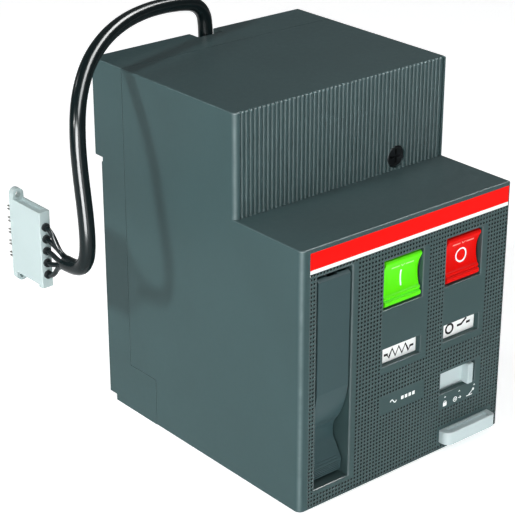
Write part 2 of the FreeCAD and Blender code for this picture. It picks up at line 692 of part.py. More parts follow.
# ---- toggle drive -------------------------------------------------------------------------------
def toggle_carriage():
    low, high = 66.0, 84.0  # the jaw gap that takes the breaker's handle
    bar = box(-46, 46, 122, 134, low, high)
    barrels = [cyl_z(x, ROD_Y, 8.0, 58, 92) for x in (-ROD_X, ROD_X)]
    back = box(-15, 15, 130, 136, 60, 90)
    jaws = [box(-12, 12, 130, 151.5, 60, low), box(-12, 12, 130, 151.5, high, 90)]
    jaws = [rounded(jaw, 2.0, lambda e: straight(e, 2) and corner_at(e, y=151.5)) for jaw in jaws]
    bores = [cyl_z(x, ROD_Y, ROD_R + FIT, 50, 100) for x in (-ROD_X, ROD_X)]
    return cut(fuse([bar, back] + barrels + jaws), bores)


def carriage_guide_rods():
    return [cyl_z(x, ROD_Y, ROD_R, 5.0, 128.0) for x in (-ROD_X, ROD_X)]


def rear_mounting_plate():
    plate = box(-INNER + 0.3, INNER - 0.3, 145.5, DEPTH_LOW, 6.2, 125.8)
    plate = rounded(plate, 3.0, lambda e: straight(e, 1))
    clear = 6.0
    window = box(-20, 20, 140, 150, 56 - clear, 90 + CARRIAGE_LIFT + clear)
    window = rounded(window, 4.0, lambda e: straight(e, 1))
    holes = [cyl_y(x, z, MOUNT_HOLE_R, 140, 150) for x, z in MOUNT_HOLES]
    holes += [cyl_y(x, z, 1.5, 140, 150) for x, z in PLATE_SCREWS]
    for x, z in PLATE_SCREWS:
        sink = Part.makeCone(1.5, 3.0, 1.5, V(x, DEPTH_LOW - 1.5, z), V(0, 1, 0))
        holes.append(sink)
    return cut(plate, [window] + holes)


def plate_screws():
    screws = []
    for x, z in PLATE_SCREWS:
        head = Part.makeCone(1.5, 3.0, 1.5, V(x, DEPTH_LOW - 1.5, z), V(0, 1, 0))
        slot = box(x - 2.2, x + 2.2, DEPTH_LOW - 0.6, DEPTH_LOW + 1, z - 0.4, z + 0.4)
        screws.append(cut(fuse([head, cyl_y(x, z, 1.5, 134, DEPTH_LOW - 1.4)]), [slot]))
    return screws


# ---- buttons, latches, indicators ---------------------------------------------------------------
def push_button(opening):
    """A cap with a dished face, a skirt and a guide stem."""
    x0, x1 = opening[0] + BUTTON_GAP, opening[1] - BUTTON_GAP
    z0, z1 = opening[2] + BUTTON_GAP, opening[3] - BUTTON_GAP
    lip = Part.Arc(V(x0, 1.5, z1), V(x0, 0.2, z1 - 1.3), V(x0, 0.5, z1 - 2.13)).toShape()
    dish = Part.Arc(V(x0, 0.5, z1 - 2.13), V(x0, 2.8, z0 + 12.0), V(x0, 1.6, z0 + 5.2)).toShape()
    profile = [
        V(x0, 1.6, z0 + 5.2),
        V(x0, 1.0, z0 + 4.7),
        V(x0, 0.8, z0 + 4.3),
        V(x0, 0.8, z0 + 3.5),
        V(x0, 1.4, z0 + 3.0),
        V(x0, 0.5, z0 + 2.6),
        V(x0, 0.2, z0 + 2.2),
        V(x0, 0.2, z0 + 0.9),
        V(x0, 0.9, z0),
        V(x0, 9.0, z0),
        V(x0, 9.0, z1),
        V(x0, 1.5, z1),
    ]
    sides = [Part.makeLine(a, b) for a, b in zip(profile, profile[1:])]
    cap = Part.Face(Part.Wire([lip, dish] + sides)).extrude(V(x1 - x0, 0, 0))
    cap = cut(cap, [box(x0 + 1.6, x1 - 1.6, 5.0, 10, z0 + 1.6, z1 - 1.6)])
    x, z = (x0 + x1) / 2, (z0 + z1) / 2
    boss = cyl_y(x, z, 5.5, 4.0, 9.0)
    return fuse([cap, boss, cyl_y(x, z, STEM_R, 8.0, STEM_END)])


def middle_of(opening):
    return (opening[0] + opening[1]) / 2, (opening[2] + opening[3]) / 2


def button_spring(opening):
    x, z = middle_of(opening)
    spring = coil(4.0, 0.4, BRACKET_Y - 9.0, 5)
    spring.rotate(V(0, 0, 0), V(1, 0, 0), -90)
    spring.translate(V(x, 9.0, z))
    return spring


def button_bracket():
    plate = box(-15.5, 59.0, BRACKET_Y, BRACKET_Y + 1.5, 86.0, 113.0)
    flange = box(57.5, 59.0, BRACKET_Y, 40.0, 79.0, 113.0)
    holes = [cyl_y(*middle_of(opening), STEM_R + FIT, 0, 30) for opening in (GREEN, RED)]
    holes += [cyl_y(x, z, 1.3, 0, 30) for x, z in BRACKET_POSTS]
    holes.append(cyl_x(LATCH_AXIS, 2.0, 50, 65))
    return cut(fuse([plate, flange]), holes)


def bracket_screws():
    screws = []
    for x, z in BRACKET_POSTS:
        head = cyl_y(x, z, 2.4, BRACKET_Y + 1.5, BRACKET_Y + 3.2)
        screws.append(fuse([head, cyl_y(x, z, 1.3, 9.0, BRACKET_Y + 2)]))
    return screws


def latch(opening):
    """A bell crank: the stem pushes its upper arm, its lower arm is the hook."""
    x = middle_of(opening)[0]
    arms = prism_x(
        [
            (24.4, 103),
            (28.4, 103),
            (38.5, 85),
            (46.0, 72),
            (52.0, 70),
            (50.0, 66),
            (42.0, 66),
            (30.0, 83),
            (24.4, 96),
        ],
        x - 2,
        x + 2,
    )
    hub = cyl_x(LATCH_AXIS, 5.0, x - 4, x + 4)
    return cut(fuse([arms, hub]), [cyl_x(LATCH_AXIS, 2.0 + FIT, x - 10, x + 10)])


def latch_pivot_pin():
    return cyl_x(LATCH_AXIS, 2.0, -10.0, 59.0)


def flag(window):
    """A sliding plate twice as tall as its window, with a tail that leads it."""
    x0, x1 = window[0] - 2.0, window[1] + 2.0
    plate = box(x0, x1, 3.3, 4.5, 56.0, 69.0 + FLAG_DROP)
    tail = box(x1 - 8, x1 - 3, 4.4, 9.0, 72.0, 76.0)
    return fuse([plate, tail])


def mode_selector():
    plate = box(22.5, 61.5, 3.3, 4.8, 29.0, 43.4)
    thumb = box(41.7, 45.2, -1.2, 3.8, 30.9, 41.3)
    thumb = rounded(thumb, 0.6, lambda e: straight(e, 2) and corner_at(e, y=-1.2))
    lug = box(50, 54, 4.5, 7.1, 34, 38)
    grips = [box(x, x + 0.4, -1.5, -0.8, 30, 42) for x in (42.5, 43.4, 44.3)]
    rebate = box(22, 41.7, 3.0, 4.2, 28, 31.6)
    return cut(fuse([plate, thumb, lug]), grips + [rebate])


def mode_switch():
    body = box(24, 44, 8.4, 14.4, 31, 41)
    plunger = cyl_y(34, 38.5, 1.0, 7.6, 8.6)
    terminals = [box(x - 1, x + 1, 14.2, 18, 34, 34.5) for x in (27, 34, 41)]
    holes = [cyl_y(x, 33.5, 1.1, 0, 30) for x in (30.5, 37.5)]
    return cut(fuse([body, plunger] + terminals), holes)


def padlock_slide():
    x0, x1, z0, z1 = SLIDE
    back = 30.0
    bar = box(x0, x1, -SLIDE_PROUD, back, z0, z1)
    bar = rounded(bar, 4.0, lambda e: straight(e, 2) and corner_at(e, x=x0, y=-SLIDE_PROUD))
    bar = rounded(bar, 2.2, lambda e: straight(e, 2) and corner_at(e, x=x1, y=-SLIDE_PROUD))
    bar = rounded(bar, 0.4, lambda e: abs(e.CenterOfMass.z - z1) < 0.01 and e.CenterOfMass.y < -3)
    dish = box(x0 + 3.4, x1 - 3.0, -4.2, -0.3, z1 - 1.5, z1 + 1)
    shackle = box(x0 + 4.5, x1 - 5.3, 3.2, 13.2, 0, 20)
    return cut(bar, [dish, shackle])


# ---- fixing screw -------------------------------------------------------------------------------
def captive_screw():
    head = cyl_y(SCREW_X, SCREW_Z, 5.2, 45.6, 51.6)
    head = rounded(head, 0.6, lambda e: abs(e.CenterOfMass.y - 45.6) < 0.01)
    shank = cyl_y(SCREW_X, SCREW_Z, 2.5, 51, 152.0)
    slots = [
        box(SCREW_X - 3.6, SCREW_X + 3.6, 45, 47.2, SCREW_Z - 0.6, SCREW_Z + 0.6),
        box(SCREW_X - 0.6, SCREW_X + 0.6, 45, 47.2, SCREW_Z - 3.6, SCREW_Z + 3.6),
    ]
    neck = cut(cyl_y(SCREW_X, SCREW_Z, 4, 146, 147), [cyl_y(SCREW_X, SCREW_Z, 2.0, 145, 148)])
    return cut(fuse([head, shank]), slots + [neck])


def screw_guide_tube():
    tube_out = cyl_y(SCREW_X, SCREW_Z, 4.5, 56.0, 145.0)
    return cut(tube_out, [cyl_y(SCREW_X, SCREW_Z, 3.0, 50, 150)])


def screw_retaining_clip():
    ring = cut(
        cyl_y(SCREW_X, SCREW_Z, 4.6, 146.05, 146.95), [cyl_y(SCREW_X, SCREW_Z, 2.0, 140, 150)]
    )
    return cut(ring, [box(SCREW_X - 1.3, SCREW_X + 1.3, 140, 150, SCREW_Z, SCREW_Z + 9)])


def housing_screws():
    screws = []
    for x, z in HOUSING_SCREWS:
        seat = 148.3 if z > SHELF_Z else 141.0
        head = cyl_y(x, z, 3.5, seat, seat + 2.6)
        cross = [
            box(x - 2, x + 2, seat + 1.4, seat + 4, z - 0.4, z + 0.4),
            box(x - 0.4, x + 0.4, seat + 1.4, seat + 4, z - 2, z + 2),
        ]
        screws.append(cut(fuse([head, cyl_y(x, z, 2.0, 112, seat + 1)]), cross))
    return screws


# ---- electrics ----------------------------------------------------------------------------------
BOARD = (54.0, 55.6, 46.0, 100.0, 22.0, 94.0)
BOARD_FEET = [(y, z) for y in (50.0, 96.0) for z in (26.0, 90.0)]


def control_board():
    holes = [cyl_x(spot, 1.6, 50, 70) for spot in BOARD_FEET]
    feet = [cyl_x(spot, 3.2, BOARD[1], INNER) for spot in BOARD_FEET]
    return cut(fuse([box(*BOARD)] + feet), holes)


def board_components():
    relay = box(40, 54, 56, 74, 30, 48)
    second = box(40, 54, 56, 74, 52, 70)
    can = cyl_x((86.0, 38.0), 6.0, 38.0, 54.0)
    socket = box(44, 54, 78, 98, 60, 68)
    fuse_tube = cyl_z(50.0, 86.0, 2.6, 72.0, 88.0)
    holder = box(49, 54, 84.5, 87.5, 73, 75)
    return [relay, second, can, socket, fuse([fuse_tube, holder])]


def terminal_block():
    base = box(-26, 20, 134, 146, SHELF_Z, SHELF_Z + 14)
    wells = []
    for i in range(5):
        x = -21.5 + 9.25 * i
        wells.append(cyl_z(x, 137.5, 2.2, SHELF_Z + 6, SHELF_Z + 20))
        wells.append(box(x - 3.5, x + 3.5, 141.5, 150, SHELF_Z + 3, SHELF_Z + 10))
    return cut(base, wells)


# ---- cable and plug -----------------------------------------------------------------------------
def cable_grommet():
    block = box(-6.3, 8.8, 144.5, 152.3, 157.2, 172.0)
    flange = box(-9.0, 11.5, 141.0, 144.1, 158.0, 172.0)
    neck = box(-5.0, 7.5, 143.5, 145.0, 159.0, 171.0)
    collar = Part.makeCone(4.0, 3.7, 4.0, V(CABLE_ROUTE[0][0], 148.3, 172.0), V(0, 0, 1))
    return fuse([block, flange, neck, collar])


def wire_starts():
    """Five wires in a ring that just fits inside the sleeve."""
    end = V(*CABLE_ROUTE[-1])
    ring = WIRE_R / math.sin(math.radians(36)) + 0.05
    starts = []
    for turn in (90, 18, 162, -54, -126):
        angle = math.radians(turn)
        starts.append(V(end.x + ring * math.cos(angle), end.y, end.z + ring * math.sin(angle)))
    return sorted(starts, key=lambda spot: -spot.z)


def connector_wires():
    middle_x = sum(PLUG_X) / 2
    wires = []
    for start, hole in zip(wire_starts(), sorted(PLUG_HOLES, reverse=True)):
        finish = V(middle_x, PLUG_Y[0] - 1.2, hole)
        route = [start, start + V(0, 3.4, 0), finish - V(0, 3.4, 0), finish]
        wires.append(tube([tuple(p) for p in route], WIRE_R - 0.1))
    return wires


def connector_housing():
    x0, x1 = PLUG_X
    y0, y1 = PLUG_Y
    z0, z1 = PLUG_Z
    middle_x = (x0 + x1) / 2
    shell = box(x0, x1, y0, y1, z0, z1)
    collar = box(x0, x1, y0, y0 + 3.5, z0 - 1.2, z1)
    shell = rounded(fuse([shell, collar]), 0.6, lambda e: straight(e, 2))
    ears = []
    for z in (z0 - 2.0, z1 + 2.0):
        ears.append(cyl_y(middle_x, z, (x1 - x0) / 2, y1 - 3.5, y1))
        ears.append(box(x0, x1, y1 - 3.5, y1, min(z, 102), max(z, 102)))
    holes = [cyl_y(middle_x, z, 1.6, y1 - 5, y1 + 1) for z in (z0 - 2.0, z1 + 2.0)]
    groove = box(x0 + 1.2, x1 - 1.0, y0 + 3.5, y1 - 3.5, z1 - 1.4, z1 + 1)
    wells = []
    for z in PLUG_HOLES:
        wells.append(cyl_y(middle_x, z, 1.6, y0 - 1, y0 + 6))
        wells.append(box(middle_x - 1.6, middle_x + 1.6, y1 - 3, y1 + 1, z - 1.6, z + 1.6))
    return cut(fuse([shell] + ears), holes + [groove] + wells)


def connector_contacts():
    """Five pairs of spring fingers that stand out of the plug's mating end."""
    middle_x = sum(PLUG_X) / 2
    y1 = PLUG_Y[1]
    contacts = []
    for z in PLUG_HOLES:
        contact = [box(middle_x - 0.8, middle_x + 0.8, y1 - 3.0, y1 - 1.5, z - 1.1, z + 1.1)]
        for at in (z - 0.85, z + 0.85):
            contact.append(box(middle_x - 0.5, middle_x + 0.5, y1 - 2.0, y1 + 6.5, at - 0.25, at + 0.25))
        contacts.append(fuse(contact))
    return contacts


def wire_seals():
    middle_x = sum(PLUG_X) / 2
    y0 = PLUG_Y[0]
    seals = []
    for z in PLUG_HOLES:
        plug = cyl_y(middle_x, z, 1.6, y0, y0 + 6)
        lip = cyl_y(middle_x, z, 2.0, y0 - 1.2, y0)
        seals.append(fuse([plug, lip]))
    return seals


# ---- write every node ---------------------------------------------------------------------------
os.makedirs("parts", exist_ok=True)
NODES = {
    "front_housing": front_housing,
    "rear_frame": rear_frame,
    "front_fascia": front_fascia,
    "red_strip": lambda: box(-59.9, 63.95, 0, 0.4, 119.85, 127.95),
    "white_line": lambda: box(-59.9, 63.95, 0, 0.4, 118.05, 119.85),
    "charging_lever": charging_lever,
    "lever_pivot_pin": lever_pivot_pin,
    "lever_sector": lever_sector,
    "lever_return_spring": lever_return_spring,
    "freewheel_pinion": freewheel_pinion,
    "freewheel_clutch": freewheel_clutch,
    "camshaft": camshaft,
    "camshaft_bushes": camshaft_bushes,
    "camshaft_circlips": circlips,
    "charging_gear": charging_gear,
    "spring_cam": spring_cam,
    "left_side_plate": left_side_plate,
    "right_side_plate": right_side_plate,
    "plate_studs": plate_studs,
    "spring_crosshead": spring_crosshead,
    "roller_axle": roller_axle,
    "follower_roller": follower_roller,
    "spring_base": spring_base,
    "spring_guide_posts": spring_guide_posts,
    "closing_springs": closing_springs,
    "charging_motor": charging_motor,
    "gear_head": gear_head,
    "drive_pinion": drive_pinion,
    "motor_screws": motor_screws,
    "toggle_carriage": toggle_carriage,
    "carriage_guide_rods": carriage_guide_rods,
    "rear_mounting_plate": rear_mounting_plate,
    "plate_screws": plate_screws,
    "button_bracket": button_bracket,
    "bracket_screws": bracket_screws,
    "on_button": lambda: push_button(GREEN),
    "on_button_spring": lambda: button_spring(GREEN),
    "off_button": lambda: push_button(RED),
    "off_button_spring": lambda: button_spring(RED),
    "close_latch": lambda: latch(GREEN),
    "open_latch": lambda: latch(RED),
    "latch_pivot_pin": latch_pivot_pin,
    "charge_flag": lambda: flag(CHARGE_WINDOW),
    "position_flag": lambda: flag(STATE_WINDOW),
    "mode_selector": mode_selector,
    "mode_switch": mode_switch,
    "padlock_slide": padlock_slide,
    "captive_screw": captive_screw,
    "screw_guide_tube": screw_guide_tube,
    "screw_retaining_clip": screw_retaining_clip,
    "housing_screws": housing_screws,
    "control_board": control_board,
    "board_components": board_components,
    "terminal_block": terminal_block,
    "cable_grommet": cable_grommet,
    "cable_sleeve": lambda: tube(CABLE_ROUTE, CABLE_R, "cable"),
    "connector_wires": connector_wires,
    "connector_housing": connector_housing,
    "connector_contacts": connector_contacts,
    "wire_seals": wire_seals,
}
for node, make in NODES.items():
    save(node, make())
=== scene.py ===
import json
import math

import bmesh
import bpy
from mathutils import Matrix, Vector
from mathutils.bvhtree import BVHTree


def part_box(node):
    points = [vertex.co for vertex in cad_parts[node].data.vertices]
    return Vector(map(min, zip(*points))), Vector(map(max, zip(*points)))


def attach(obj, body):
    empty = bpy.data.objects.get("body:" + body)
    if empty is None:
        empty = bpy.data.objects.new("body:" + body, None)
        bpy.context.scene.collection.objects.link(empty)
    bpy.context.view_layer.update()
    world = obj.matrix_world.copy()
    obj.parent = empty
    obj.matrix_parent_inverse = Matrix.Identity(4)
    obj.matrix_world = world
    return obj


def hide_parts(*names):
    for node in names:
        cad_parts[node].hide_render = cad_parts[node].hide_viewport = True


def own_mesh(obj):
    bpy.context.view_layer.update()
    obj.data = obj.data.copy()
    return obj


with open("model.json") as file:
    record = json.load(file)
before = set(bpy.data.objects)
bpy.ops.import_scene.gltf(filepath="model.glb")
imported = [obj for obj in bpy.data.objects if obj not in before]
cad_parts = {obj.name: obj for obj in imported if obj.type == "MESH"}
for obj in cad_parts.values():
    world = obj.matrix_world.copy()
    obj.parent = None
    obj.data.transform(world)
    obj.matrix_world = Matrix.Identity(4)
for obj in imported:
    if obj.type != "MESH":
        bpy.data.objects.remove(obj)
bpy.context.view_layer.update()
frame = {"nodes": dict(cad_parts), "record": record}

# A stored-energy motor operator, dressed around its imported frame.
# Sizes below are millimetres: x from the middle, y back from the front face, z up from the base.

MM = 0.001
FACE_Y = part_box("front_housing")[0].y / MM  # the front face in the row frame


def at(x, y, z):
    """A point of the row frame, in metres."""
    return Vector((x, y + FACE_Y, z)) * MM


def extent(node):
    """(x low, x high, y low, y high, z low, z high) of a CAD node, in millimetres."""
    low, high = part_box(node)
    low, high = low / MM, high / MM
    return low.x, high.x, low.y - FACE_Y, high.y - FACE_Y, low.z, high.z


def grown(rect, left, right, down, up):
    """A rectangle (x low, x high, z low, z high) with its sides moved outwards."""
    return rect[0] - left, rect[1] + right, rect[2] - down, rect[3] + up


def face_rect(node):
    x0, x1, _, _, z0, z1 = extent(node)
    return x0, x1, z0, z1


# openings of the front plate, from the pieces that fill them (a negative number moves a side inwards)
BUTTON_GAP = 1.0
BUTTON_EDGE_R = 0.6
GREEN = grown(face_rect("on_button"), *[BUTTON_GAP] * 4)
RED = grown(face_rect("off_button"), *[BUTTON_GAP] * 4)
CHARGE_WINDOW = grown(face_rect("charge_flag"), -2.0, -2.0, -2.3, -11.7)
STATE_WINDOW = grown(face_rect("position_flag"), -2.0, -2.0, -2.3, -12.0)
SELECTOR_WINDOW = grown(face_rect("mode_selector"), -1.5, -14.0, -1.5, -1.7)
SLIDE_OPENING = grown(face_rect("padlock_slide"), *[0.3] * 4)
WELL = grown(face_rect("charging_lever"), 0.8, 1.1, 2.3, 1.7)
PLATE = face_rect("front_fascia")
STRIP_FOOT = extent("white_line")[4]
STRIP_TOP = extent("red_strip")[5]
PLATE_THICK, WELL_DEPTH, WELL_SKIN = 3.0, 16.0, 1.5
# how far the indicator flags, the crosshead on the closing springs and the buttons move
FLAG_DROP, CROSSHEAD_DROP, BUTTON_TRAVEL = 10.0, 14.0, 3.0


# ---- meshes -------------------------------------------------------------------------------------
def add_mesh(name, bm, body, slot, sharp=35.0):
    """A new piece from a bmesh drawn in drawing millimetres. It rides on a body."""
    bmesh.ops.recalc_face_normals(bm, faces=bm.faces)
    bm.transform(Matrix.Translation((0, FACE_Y * MM, 0)) @ Matrix.Scale(MM, 4))
    mesh = bpy.data.meshes.new(name)
    bm.to_mesh(mesh)
    bm.free()
    piece = bpy.data.objects.new(name, mesh)
    bpy.context.scene.collection.objects.link(piece)
    mesh.shade_smooth()
    mesh.set_sharp_from_angle(angle=math.radians(sharp))
    return dress(piece, body, slot)


def dress(piece, body, slot):
    """Gives a new piece its slot's material, and its body."""
    piece.data.materials.append(MATERIALS[slot])
    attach(piece, body)
    return piece


def add_box(bm, x0, x1, y0, y1, z0, z1):
    corners = [(x, y, z) for x in (x0, x1) for y in (y0, y1) for z in (z0, z1)]
    v = [bm.verts.new(c) for c in corners]
    quads = ((0, 1, 3, 2), (4, 6, 7, 5), (0, 4, 5, 1), (2, 3, 7, 6), (0, 2, 6, 4), (1, 5, 7, 3))
    for quad in quads:
        bm.faces.new([v[i] for i in quad])


def box_mesh(*sides):
    bm = bmesh.new()
    add_box(bm, *sides)
    bmesh.ops.recalc_face_normals(bm, faces=bm.faces)
    return bm


def combine(piece, bm, operation):
    """Joins or cuts a piece with a bmesh drawn in drawing millimetres."""
    bmesh.ops.recalc_face_normals(bm, faces=bm.faces)
    bm.transform(Matrix.Translation((0, FACE_Y * MM, 0)) @ Matrix.Scale(MM, 4))
    mesh = bpy.data.meshes.new("tool")
    bm.to_mesh(mesh)
    bm.free()
    tool = bpy.data.objects.new("tool", mesh)
    bpy.context.scene.collection.objects.link(tool)
    step = piece.modifiers.new("combine", "BOOLEAN")
    step.object, step.operation, step.solver = tool, operation, "EXACT"
    bake_modifiers(piece)
    bpy.data.objects.remove(tool)


def bake_modifiers(piece):
    """Turns a piece's modifiers into its mesh."""
    bpy.context.view_layer.update()
    final = piece.evaluated_get(bpy.context.evaluated_depsgraph_get())
    mesh = bpy.data.meshes.new_from_object(final)
    piece.modifiers.clear()
    piece.data = mesh


def soften(node, width):
    """Rounds the sharp edges of a CAD node's look. Its own mesh stays as it is."""
    piece = frame["nodes"][node]
    weld = piece.modifiers.new("weld", "WELD")
    weld.merge_threshold = 1e-6
    bevel = piece.modifiers.new("bevel", "BEVEL")
    bevel.width, bevel.segments = width * MM, 2
    bevel.limit_method, bevel.angle_limit = "ANGLE", math.radians(40)
    bevel.use_clamp_overlap = True
    even = piece.modifiers.new("even", "WEIGHTED_NORMAL")
    even.keep_sharp = True


# ---- materials ----------------------------------------------------------------------------------
class Shader:
    """A Principled material whose colour, roughness and bump come from noise in object space."""

    def __init__(self, name, metallic=0.0, specular=0.5, coat=0.0):
        self.material = bpy.data.materials.new(name)
        self.material.use_nodes = True
        self.tree = self.material.node_tree
        self.shader = self.tree.nodes["Principled BSDF"]
        self.shader.inputs["Metallic"].default_value = metallic
        self.shader.inputs["Specular IOR Level"].default_value = specular
        self.shader.inputs["Coat Weight"].default_value = coat
        self.shader.inputs["Coat Roughness"].default_value = 0.1
        self.place = self.node("ShaderNodeTexCoord").outputs["Object"]

    def node(self, kind, **inputs):
        made = self.tree.nodes.new(kind)
        for key, value in inputs.items():
            self.feed(made.inputs[key.replace("_", " ")], value)
        return made

    def feed(self, socket, value):
        if isinstance(value, bpy.types.NodeSocket):
            self.tree.links.new(value, socket)
        else:
            socket.default_value = value

    def noise(self, scale, detail=2.0, stretch=(1, 1, 1)):
        """Noise from 0 to 1, with features of 1 / scale metres, squeezed on each axis by stretch."""
        place = self.place
        if stretch != (1, 1, 1):
            place = self.node("ShaderNodeMapping", Vector=place, Scale=stretch).outputs[0]
        return self.node("ShaderNodeTexNoise", Vector=place, Scale=scale, Detail=detail).outputs[0]

    def remap(self, value, low, high, from_low=0.3, from_high=0.7):
        """A value between from_low and from_high, spread over low to high and held there outside."""
        source = {"From_Min": from_low, "From_Max": from_high}
        made = self.node("ShaderNodeMapRange", Value=value, To_Min=low, To_Max=high, **source)
        return made.outputs[0]

    def mix(self, share, a, b):
        made = self.tree.nodes.new("ShaderNodeMix")
        made.data_type = "RGBA"
        self.feed(made.inputs[0], share)
        self.feed(made.inputs[6], a)
        self.feed(made.inputs[7], b)
        return made.outputs[2]

    def edges(self, radius):
        """1 on rounded or sharp edges of a boxy piece, 0 on its flat faces."""
        soft = self.node("ShaderNodeBevel", Radius=radius * MM)
        soft.samples = 4
        turned = self.tree.nodes.new("ShaderNodeVectorTransform")
        turned.vector_type, turned.convert_from, turned.convert_to = "NORMAL", "WORLD", "OBJECT"
        self.feed(turned.inputs[0], soft.outputs[0])
        parts = self.node("ShaderNodeSeparateXYZ", Vector=turned.outputs[0])
        largest = None
        for part in parts.outputs:
            size = self.math("ABSOLUTE", part)
            largest = size if largest is None else self.math("MAXIMUM", largest, size)
        return self.remap(largest, 1.0, 0.0, 0.74, 0.97)

    def math(self, operation, *values):
        made = self.tree.nodes.new("ShaderNodeMath")
        made.operation = operation
        for socket, value in zip(made.inputs, values):
            self.feed(socket, value)
        return made.outputs[0]

    def bump(self, height, depth):
        return self.node("ShaderNodeBump", Height=height, Distance=depth * MM, Strength=1.0).outputs[0]

    def finish(self, colour, rough, normal):
        self.feed(self.shader.inputs["Base Color"], colour)
        self.feed(self.shader.inputs["Roughness"], rough)
        self.feed(self.shader.inputs["Normal"], normal)
        return self.material


def tint(colour, factor):
    return tuple(min(1.0, c * factor) for c in colour) + (1.0,)


def moulded(name, colour, rough, depth=0.012, painted_edge_highlight=0.25, vary=0.04, **gloss):
    """Moulded plastic: fine spark-eroded grain, faint flow clouds, and edges lightened in patches as a
    painted highlight.
    """
    s = Shader(name, **gloss)
    clouds = s.remap(s.noise(28.0, 3.0), 0.0, 1.0)
    body = s.mix(clouds, tint(colour, 1 - vary), tint(colour, 1 + vary))
    # painted highlight: a lighter colour laid on the edges, in patches, standing in for light caught on
    # them
    if painted_edge_highlight:
        edge_highlight_mask = s.math("MULTIPLY", s.edges(0.6), s.remap(s.noise(160.0, 4.0), 0.6 * painted_edge_highlight, painted_edge_highlight))
        body = s.mix(edge_highlight_mask, body, tint([0.06 + 0.9 * c for c in colour], 2.4))
    grain = s.noise(4000.0, 2.0)
    sheen = s.remap(s.noise(420.0, 4.0), rough - 0.03, rough + 0.04)
    return s.finish(body, sheen, s.bump(grain, depth))


def metal(name, colour, rough, stretch=(1, 1, 1), scale=900.0, depth=0.006, spots=0.0):
    """Bare or plated metal with fine machining or rolling marks, and duller patches."""
    s = Shader(name, metallic=1.0)
    marks = s.noise(scale, 3.0, stretch)
    patches = s.remap(s.noise(70.0, 4.0), 0.0, 1.0, 0.35, 0.65)
    body = s.mix(patches, tint(colour, 0.88), tint(colour, 1.12))
    if spots:
        flakes = s.node("ShaderNodeTexVoronoi", Vector=s.place, Scale=420.0).outputs["Distance"]
        body = s.mix(s.remap(flakes, 0.0, spots, 0.2, 0.6), body, tint(colour, 0.72))
    dull = s.remap(s.noise(130.0, 3.0), rough - 0.08, rough + 0.12)
    return s.finish(body, dull, s.bump(marks, depth))


def film(name, colour, rough):
    """A printed film: even colour with a slight orange-peel surface."""
    s = Shader(name, specular=0.04)
    body = s.mix(s.remap(s.noise(220.0), 0.0, 1.0), tint(colour, 0.95), tint(colour, 1.03))
    sheen = s.remap(s.noise(150.0), rough - 0.05, rough + 0.08)
    return s.finish(body, sheen, s.bump(s.noise(700.0), 0.01))


def rubber(name, colour, rough=0.2, specular=0.14):
    """Extruded black sleeve: glossy, with a little dust."""
    s = Shader(name, specular=specular)
    dust = s.remap(s.noise(240.0, 5.0), 0.0, 0.3, 0.5, 0.8)
    body = s.mix(dust, tint(colour, 1.0), tint(colour, 1.8))
    sheen = s.remap(s.noise(320.0, 4.0), rough - 0.03, rough + 0.03)
    return s.finish(body, sheen, s.bump(s.noise(300.0), 0.008))


def board(name):
    """Circuit board: solder mask over darker tracks."""
    s = Shader(name, coat=0.5)
    cells = s.node("ShaderNodeTexVoronoi", Vector=s.place, Scale=170.0).outputs["Distance"]
    tracks = s.remap(cells, 1.0, 0.0, 0.35, 0.45)
    body = s.mix(tracks, (0.008, 0.10, 0.03, 1), (0.02, 0.2, 0.06, 1))
    return s.finish(body, s.remap(s.noise(200.0), 0.25, 0.4), s.bump(tracks, 0.03))


HOUSING = (0.034, 0.068, 0.071)
FASCIA = (0.033, 0.066, 0.067)
LEVER = (0.034, 0.066, 0.071)
LIGHT_GREY = (0.46, 0.55, 0.56)
PLUG = (0.40, 0.49, 0.49)
STEEL = (0.60, 0.61, 0.62)
# the edge amount below sets how strongly each plastic's edges are lightened as a painted highlight
PLASTICS = {  # colour, roughness, and what differs from the usual moulding
    "housing_plastic": (HOUSING, 0.42, dict(painted_edge_highlight=0.35, specular=0.1)),
    "fascia_plastic": (FASCIA, 0.42, dict(painted_edge_highlight=0.3, specular=0.12)),
    "lever_plastic": (LEVER, 0.38, dict(depth=0.006, painted_edge_highlight=0.06, specular=0.1)),
    "green_plastic": ((0.10, 0.78, 0.0), 0.36, dict(depth=0.003, painted_edge_highlight=0.05, specular=0.09)),
    "red_plastic": ((0.68, 0.004, 0.002), 0.34, dict(depth=0.003, painted_edge_highlight=0.02, specular=0.03)),
    "light_grey_plastic": (LIGHT_GREY, 0.4, dict(painted_edge_highlight=0.1, vary=0.03, specular=0.25)),
    "selector_plastic": (LIGHT_GREY, 0.38, dict(painted_edge_highlight=0.1, vary=0.03, specular=0.3)),
    "plug_plastic": (PLUG, 0.42, dict(painted_edge_highlight=0.1, vary=0.03, specular=0.3)),
    "component_dark": ((0.022, 0.022, 0.026), 0.4, dict(painted_edge_highlight=0.15)),
}
